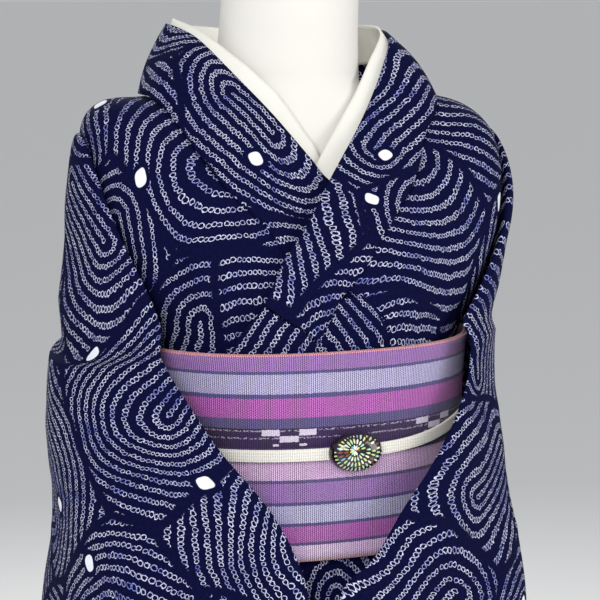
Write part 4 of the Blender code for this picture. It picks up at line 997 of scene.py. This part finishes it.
def bow_loop(side, lengthwise, upright):
    """Half of the bow: the band runs out from the knot, turns at the tip and comes back before itself."""
    x, half_height, half_depth, drop, behind = smooth(LOOP, np.linspace(0, len(LOOP) - 1, lengthwise)).T
    u = np.linspace(-1, 1, upright)
    near_knot = hump(x, 0.0, 0.07) * np.clip((x - 0.034) / 0.02, 0, 1)
    pleat = 0.0020 * np.cos(u * 3 * pi) * near_knot[:, None]
    z = BOW_CENTRE_Z - drop[:, None] + half_height[:, None] * u
    sheets = []
    for face in (1, -1):
        y = BOW_BACK + (behind + face * half_depth)[:, None] + pleat
        sheets.append(np.stack([side * (x[:, None] + 0 * u), y, z], -1))
    points = np.concatenate([sheets[0], sheets[1][::-1][1:]])
    step = np.linalg.norm(np.diff(points[:, upright // 2], axis=0), axis=-1)
    length = np.concatenate([[0], np.cumsum(step)])[:, None] + 0 * u
    down = (1 - u)[None] / 2 * SASH_HEIGHT + 0 * length
    return points, np.stack([side * length, down], -1)


def bow_knot():
    """The band wrapped over the bow's middle: a rounded square loop drawn in at its waist."""
    turn = 2 * pi * np.arange(72) / 72 - pi / 2  # from the hidden side
    c, s = (np.sign(v) * np.abs(v) ** 0.6 for v in (np.cos(turn), np.sin(turn)))
    x = np.linspace(-KNOT_HALF_WIDTH, KNOT_HALF_WIDTH, 17)[:, None]
    pinch = 1 - 0.10 * np.cos(x / KNOT_HALF_WIDTH * pi / 2)
    crease = 0.0006 * np.cos(x / KNOT_HALF_WIDTH * 2.5 * pi)
    y = BOW_BACK + KNOT_DEPTH / 2 + (KNOT_DEPTH / 2 - 0.0008 + crease) * s + 0 * x
    z = BOW_CENTRE_Z + KNOT_HALF_HEIGHT * c * pinch
    points = np.stack([x + 0 * turn, y, z], -1)
    return points, np.stack([KNOT_HALF_HEIGHT * 4 * turn[None] / 6 + 0 * x, 0.08 + x + 0 * turn], -1)


CORD_ROW = 6.94  # of its middle
CORD_ROW_HEIGHT = 0.0810  # metres from one row to the next there


def cord_points():
    """The flat cord round the sash's middle, a closed band a little higher at the wearer's left side."""
    angle = np.arange(240) * 1.5
    rise = 0.16 * hump(angle, 62.0, 30.0)
    row = CORD_ROW - rise + np.linspace(-0.5, 0.5, 5)[:, None] * CORD_WIDTH / CORD_ROW_HEIGHT
    points = point(angle[None] + 0 * row, row, OUT_CORD)
    radius = np.linalg.norm(points[2, :, :2], axis=-1).mean()
    return points, np.stack([np.radians(angle)[None] * radius + 0 * row, row * CORD_ROW_HEIGHT], -1)


def dome_points():
    """The brooch's dome: ovals that shrink as they rise, from the flat back's rim to the crown."""
    centre = point(0.0, 6.93, OUT_BROOCH) + (0.0055, 0.0, 0.0)
    rise = np.linspace(0, 1, 26)[:, None]
    lift = np.sin(rise * pi / 2)
    share = np.maximum(np.cos(rise * pi / 2) ** 0.62, 0.0006)
    turn = 2 * pi * np.arange(96)[None, :] / 96
    x, z = BROOCH_WIDTH / 2 * share * np.cos(turn), BROOCH_HEIGHT / 2 * share * np.sin(turn)
    points = centre + np.stack([x, -(BROOCH_DEPTH - 0.0003) * lift + 0 * x, z], -1)
    return points, np.stack([x, z], -1)


def torso_rings():
    """Rings of the limbless form: its neck, then the body surface drawn in, down to its underside."""
    angle = np.arange(144) * 2.5
    turn = np.radians(angle)
    rings = []
    for place in np.linspace(0, len(NECK) - 1, 26):
        half_width, half_depth, back, z = smooth(NECK, np.array(place))
        x, y = half_width * np.sin(turn), back - half_depth * np.cos(turn)
        rings.append(np.stack([x, y, z + 0 * turn], -1))
    near_side = hump(np.abs(angle - 180.0), 90.0, 42.0)
    near_front = hump(180.0 - np.abs(angle - 180.0), 0.0, 45.0)
    for row in np.linspace(FORM_ROWS[0], FORM_ROWS[-1], 90):
        shoulder = near_side * np.clip((row - 0.9) / 0.6, 0, 1) * np.clip((4.6 - row) / 0.8, 0, 1)
        throat = near_front * np.clip((3.6 - row) / 1.2, 0, 1)
        sunk = OUT_FORM_THROAT * np.maximum(throat, np.clip(1.4 - row, 0, 1))
        out = OUT_FORM + (OUT_FORM_SHOULDER - OUT_FORM) * shoulder + sunk
        tuck = -0.012 * eased(row, FORM_ROWS[-2], FORM_ROWS[-1])
        rings.append(point(angle, row, out + tuck))
    rings[-1][:, 2] = rings[-1][:, 2].min()
    return np.stack(rings)


def closed_shell(name, points, material, node, uv=None):
    """A closed body over a grid whose sides join, with a fan over each end ring, turned outwards."""
    rows, columns = points.shape[:2]
    faces = grid_faces(rows, columns, True).tolist()
    index = np.arange(rows * columns).reshape(rows, columns)
    faces += [index[0, ::-1].tolist(), index[-1].tolist()]
    mesh = bpy.data.meshes.new(name)
    mesh.from_pydata(points.reshape(-1, 3), [], faces)
    obj = bpy.data.objects.new(name, mesh)
    bpy.context.scene.collection.objects.link(obj)
    if uv is not None:
        set_uv(obj, uv)
    bpy.ops.object.select_all(action="DESELECT")
    obj.select_set(True)
    bpy.context.view_layer.objects.active = obj
    bpy.ops.object.mode_set(mode="EDIT")
    bpy.ops.mesh.select_all(action="SELECT")
    bpy.ops.mesh.normals_make_consistent(inside=False)
    bpy.ops.object.mode_set(mode="OBJECT")
    obj.select_set(False)
    mesh.shade_smooth()
    mesh.set_sharp_from_angle(angle=radians(50))
    mesh.materials.append(material)
    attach(obj, "root")
    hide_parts(node)
    return obj


class YukataSizes(bpy.types.PropertyGroup):
    """Sizes that change how the robe is made and printed."""

    cloth_thickness: FloatProperty(
        name="Cloth Thickness", description="Thickness of the robe's cotton", default=0.0012, unit="LENGTH")
    collar_thickness: FloatProperty(
        name="Collar Thickness", description="Thickness of the folded collar", default=0.0028, unit="LENGTH")
    inner_collar_thickness: FloatProperty(
        name="Inner Collar Thickness", description="Thickness of the white collar", default=0.0015,
        unit="LENGTH")
    sash_thickness: FloatProperty(
        name="Sash Thickness", description="Thickness of the sash's weave", default=0.0015, unit="LENGTH")
    line_pitch: FloatProperty(
        name="Line Spacing", description="Distance between two printed lines", default=0.0098, unit="LENGTH")
    ring_pitch: FloatProperty(
        name="Ring Spacing", description="Distance between two rings of a line", default=0.0033,
        unit="LENGTH")
    ring_width: FloatProperty(
        name="Ring Width", description="Size of a ring along its line", default=0.0027, unit="LENGTH")
    ring_height: FloatProperty(
        name="Ring Height", description="Size of a ring across its line", default=0.0035, unit="LENGTH")
    ring_stroke: FloatProperty(
        name="Ring Stroke", description="Half the stroke of a ring, as a share of its half size",
        default=0.11, subtype="FACTOR")
    cells_per_metre: FloatProperty(
        name="Groups per Metre", description="How many groups of lines there are to a metre", default=7.6)
    spots_per_metre: FloatProperty(
        name="Spots per Metre", description="How many places for white spots there are to a metre",
        default=13.0)
    spot_share: FloatProperty(
        name="Share of Spots", description="Share of those places that hold a white spot", default=0.30,
        subtype="FACTOR")


def colour_property(name, description, default):
    return FloatVectorProperty(
        name=name, description=description, subtype="COLOR", size=3, min=0.0, max=1.0,
        default=linear(default)[:3])


class YukataColours(bpy.types.PropertyGroup):
    """Dyes of the printed cotton, and the floor's paint."""

    indigo_dark: colour_property("Dark Indigo", "Deepest tone of the dyed cotton", "#05071f")
    indigo_light: colour_property("Light Indigo", "Lightest tone of the dyed cotton", "#0d1040")
    print_dim: colour_property("Dim Ring", "Rings that took less of the resist", "#7b83d0")
    print_bright: colour_property("Bright Ring", "Rings that took all of the resist", "#d8daf6")
    print_white: colour_property("White Spot", "The rounded white spots", "#f1f2fb")
    floor: colour_property("Floor", "Pale paint of the studio floor", "#f2f2f0")


class YukataCamera(bpy.types.PropertyGroup):
    """Where the camera stands, as the photograph was taken."""

    azimuth: FloatProperty(
        name="Azimuth", description="Turn round the robe, from its front", default=radians(-20.0),
        subtype="ANGLE", unit="ROTATION")
    elevation: FloatProperty(
        name="Elevation", description="How far the camera looks down", default=radians(9.0),
        subtype="ANGLE", unit="ROTATION")
    distance: FloatProperty(
        name="Distance", description="From the camera to what it looks at", default=1.60, unit="LENGTH")
    aim: FloatVectorProperty(
        name="Aim", description="The point the camera looks at", default=(0.007, 0.0, 1.139), size=3,
        subtype="XYZ", unit="LENGTH")
    lens: FloatProperty(
        name="Lens", description="Focal length on a 36 mm frame, in millimetres", default=118.2)


def cotton(context):
    """The printed cotton, made once and shared by the robe's pieces."""
    name = "indigo cotton, plain weave, printed"
    scene = context.scene
    return bpy.data.materials.get(name) or printed_cotton(scene.yukata_colours, scene.yukata_sizes)


def weave():
    return bpy.data.materials.get("silk and cotton sash weave, ribbed") or striped_weave()


class YUKATA_OT_form(bpy.types.Operator):
    """Covers the limbless form in jersey and brushes its steel pole and base"""

    bl_idname = "yukata.form"
    bl_label = "Dress Form"

    def execute(self, context):
        closed_shell("form_torso_cover", torso_rings(), form_cover(), "form_torso")
        steel = brushed_steel()
        for node in ("pole", "base"):
            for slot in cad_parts[node].material_slots:
                slot.material = steel
        return {"FINISHED"}


class YUKATA_OT_bodice(bpy.types.Operator):
    """Makes the strips over the shoulders and the okumi gores beside the collar"""

    bl_idname = "yukata.bodice"
    bl_label = "Bodice"

    def execute(self, context):
        thick = context.scene.yukata_sizes.cloth_thickness
        for side, word in ((1, "left"), (-1, "right")):
            cloth_piece("bodice_" + word, "body_" + word, body_strip(side), thick, cotton(context),
                        shift=(0.4 * side, 0.1))
            cloth_piece("okumi_" + word, "gore_" + word, gore(side), thick, cotton(context),
                        shift=(0.9 * side, 0.7))
        return {"FINISHED"}


class YUKATA_OT_skirt(bpy.types.Operator):
    """Hangs the skirt: two backs, and on each side a front with its okumi gore"""

    bl_idname = "yukata.skirt"
    bl_label = "Skirt"

    def execute(self, context):
        thick = context.scene.yukata_sizes.cloth_thickness
        for number, (node, *panel) in enumerate(SKIRT_PANELS):
            name = node.replace("skirt", "skirt_cloth")
            cloth_piece(name, node, skirt_panel(*panel), thick, cotton(context),
                        shift=(1.3 * number, 2.1))
        return {"FINISHED"}


class YUKATA_OT_collars(bpy.types.Operator):
    """Crosses the collars: the over-collar, its ends below it, and the white inner collar"""

    bl_idname = "yukata.collars"
    bl_label = "Collars"

    def execute(self, context):
        sizes = context.scene.yukata_sizes
        right = collar_band(-1, 0, OVER_COLLAR_END, 170, 18)
        left = collar_band(1, 0, OVER_COLLAR_END, 170, 18)
        points = nape_to_nape(right, left)
        cloth_piece("over_collar_band", "over_collar", points, sizes.collar_thickness, cotton(context),
                    shift=(0.2, 3.3))
        for side, word, last in ((1, "left", len(SEAM_LEFT) - 1), (-1, "right", len(SEAM_RIGHT) - 1)):
            end = collar_band(side, OVER_COLLAR_END + 0.03, last, 60, 18)
            cloth_piece("collar_end_" + word, "collar_" + word, end, sizes.collar_thickness, cotton(context),
                        shift=(1.1 * side, 4.0))
        inner = nape_to_nape(inner_band(-1, 150, 14), inner_band(1, 150, 14))
        cloth_piece("inner_collar_band", "inner_collar", inner, sizes.inner_collar_thickness, plain_cotton(),
                    uv=grid_metres(inner))
        return {"FINISHED"}


class YUKATA_OT_sleeves(bpy.types.Operator):
    """Hangs a sleeve from each shoulder, a flattened tube that opens below"""

    bl_idname = "yukata.sleeves"
    bl_label = "Sleeves"

    def execute(self, context):
        thick = context.scene.yukata_sizes.cloth_thickness
        for side, word in ((1, "left"), (-1, "right")):
            cloth_piece("sleeve_cloth_" + word, "sleeve_" + word, sleeve_points(side, 110, 140), thick,
                        cotton(context), closed=True,
                        shift=(2.0 * side, 5.2))
        return {"FINISHED"}


class YUKATA_OT_sash(bpy.types.Operator):
    """Winds the sash twice round the waist and ties its bow behind"""

    bl_idname = "yukata.sash"
    bl_label = "Sash and Bow"

    def execute(self, context):
        thick = context.scene.yukata_sizes.sash_thickness
        points, uv = sash_points()
        cloth_piece("sash_band", "sash", points, thick, weave(),
                    uv=uv,
                    outward=points * (1.0, 1.0, 0.0))
        for side, word in ((1, "left"), (-1, "right")):
            points, uv = bow_loop(side, 70, 34)
            middle = np.array((side * 0.08, BOW_BACK + 0.022, 0.0))
            cloth_piece("bow_loop_" + word, "bow_" + word, points, thick, weave(),
                        uv=uv, outward=points - middle)
        points, uv = bow_knot()
        middle = np.array((0.0, BOW_BACK + KNOT_DEPTH / 2, BOW_CENTRE_Z))
        cloth_piece("bow_knot_band", "bow_knot", points, thick, weave(), uv=uv,
                    closed=True, outward=points - middle)
        return {"FINISHED"}


class YUKATA_OT_cord(bpy.types.Operator):
    """Ties the flat cream cord round the sash and threads the lacquer brooch on it"""

    bl_idname = "yukata.cord"
    bl_label = "Cord and Brooch"

    def execute(self, context):
        points, uv = cord_points()
        cord = cloth_piece("flat_cord", "cord", points, CORD_THICK, flat_braid(),
                           uv=uv, closed=True, outward=points * (1.0, 1.0, 0.0))
        edge = cord.modifiers.new("rounded edge", "BEVEL")
        edge.width = 0.0005
        edge.segments = 2
        points, uv = dome_points()
        closed_shell("brooch_dome", points, inlaid_lacquer(), "brooch", uv)
        return {"FINISHED"}


FLOOR_REACH = 200.0  # metres, so that no edge of the floor shows


class YUKATA_OT_stage(bpy.types.Operator):
    """Lays the pale floor, hangs the soft lights and sets up the camera"""

    bl_idname = "yukata.stage"
    bl_label = "Stage"

    def execute(self, context):
        scene = context.scene
        view = scene.yukata_camera
        ends = (-FLOOR_REACH, FLOOR_REACH)
        floor = grid_object("floor", np.stack(np.meshgrid(ends, ends, (0.0,), indexing="ij"), -1)
                            .reshape(2, 2, 3))
        paint = finish("matt floor paint", (
            ("place", "TexCoord", {}, {}),
            ("mottle", "TexNoise", {}, {"Vector": "place.Object", "Scale": 3.0, "Detail": 4.0}),
            ("rough", "MapRange", {}, {"Value": "mottle", "To Min": 0.75, "To Max": 0.9}),
        ), Roughness="rough")
        paint.node_tree.nodes["Principled BSDF"].inputs["Base Color"].default_value = (
            *scene.yukata_colours.floor, 1.0)
        floor.data.materials.append(paint)
        # Soft boxes: place, aim, side length, power in watts
        for name, place, size, power in (
            ("key light", (-1.6, -2.6, 2.6), 1.6, 70.0),
            ("fill light", (2.4, -1.8, 1.7), 1.8, 32.0),
            ("back light", (0.6, 2.4, 2.4), 1.6, 40.0),
        ):
            lamp = bpy.data.lights.new(name, "AREA")
            lamp.size, lamp.energy = size, power
            light = bpy.data.objects.new(name, lamp)
            scene.collection.objects.link(light)
            light.location = place
            away = light.location - type(light.location)((0.0, 0.0, 1.05))
            light.rotation_euler = away.to_track_quat("Z", "Y").to_euler()
        world = bpy.data.worlds.new("pale room")
        world.use_nodes = True
        world.node_tree.nodes["Background"].inputs["Color"].default_value = linear("#e4e6ea")
        world.node_tree.nodes["Background"].inputs["Strength"].default_value = 0.62
        scene.world = world
        scene.view_settings.view_transform = "Standard"
        lens = bpy.data.cameras.new("camera")
        lens.sensor_width, lens.lens = 36.0, view.lens
        camera = bpy.data.objects.new("camera", lens)
        scene.collection.objects.link(camera)
        a, e = view.azimuth, view.elevation
        back = np.array((sin(a) * cos(e), -cos(a) * cos(e), sin(e)))
        camera.location = np.array(view.aim) + back * view.distance
        camera.rotation_euler = type(camera.location)(back).to_track_quat("Z", "Y").to_euler()
        scene.camera = camera
        return {"FINISHED"}


PIECES = (
    YUKATA_OT_form, YUKATA_OT_bodice, YUKATA_OT_skirt, YUKATA_OT_collars, YUKATA_OT_sleeves, YUKATA_OT_sash,
    YUKATA_OT_cord, YUKATA_OT_stage,
)


class YUKATA_PT_panel(bpy.types.Panel):
    """Lists the robe's sizes, colours and pieces"""

    bl_idname = "YUKATA_PT_panel"
    bl_label = "Cotton Yukata"
    bl_space_type = "VIEW_3D"
    bl_region_type = "UI"
    bl_category = "Yukata"

    def draw(self, context):
        layout = self.layout
        scene = context.scene
        for group in (scene.yukata_sizes, scene.yukata_colours, scene.yukata_camera):
            box = layout.box()
            for name in group.__annotations__:
                box.prop(group, name)
        for piece in PIECES:
            layout.operator(piece.bl_idname)


GROUPS = {"yukata_sizes": YukataSizes, "yukata_colours": YukataColours, "yukata_camera": YukataCamera}


def register():
    for made in (*GROUPS.values(), *PIECES, YUKATA_PT_panel):
        bpy.utils.register_class(made)
    for name, group in GROUPS.items():
        setattr(bpy.types.Scene, name, PointerProperty(type=group))


def unregister():
    for name in GROUPS:
        delattr(bpy.types.Scene, name)
    for made in (YUKATA_PT_panel, *reversed(PIECES), *GROUPS.values()):
        bpy.utils.unregister_class(made)


def main():
    register()
    for piece in PIECES:
        group, name = piece.bl_idname.split(".")
        getattr(getattr(bpy.ops, group), name)()
    bpy.context.view_layer.update()


if __name__ == "__main__":
    main()
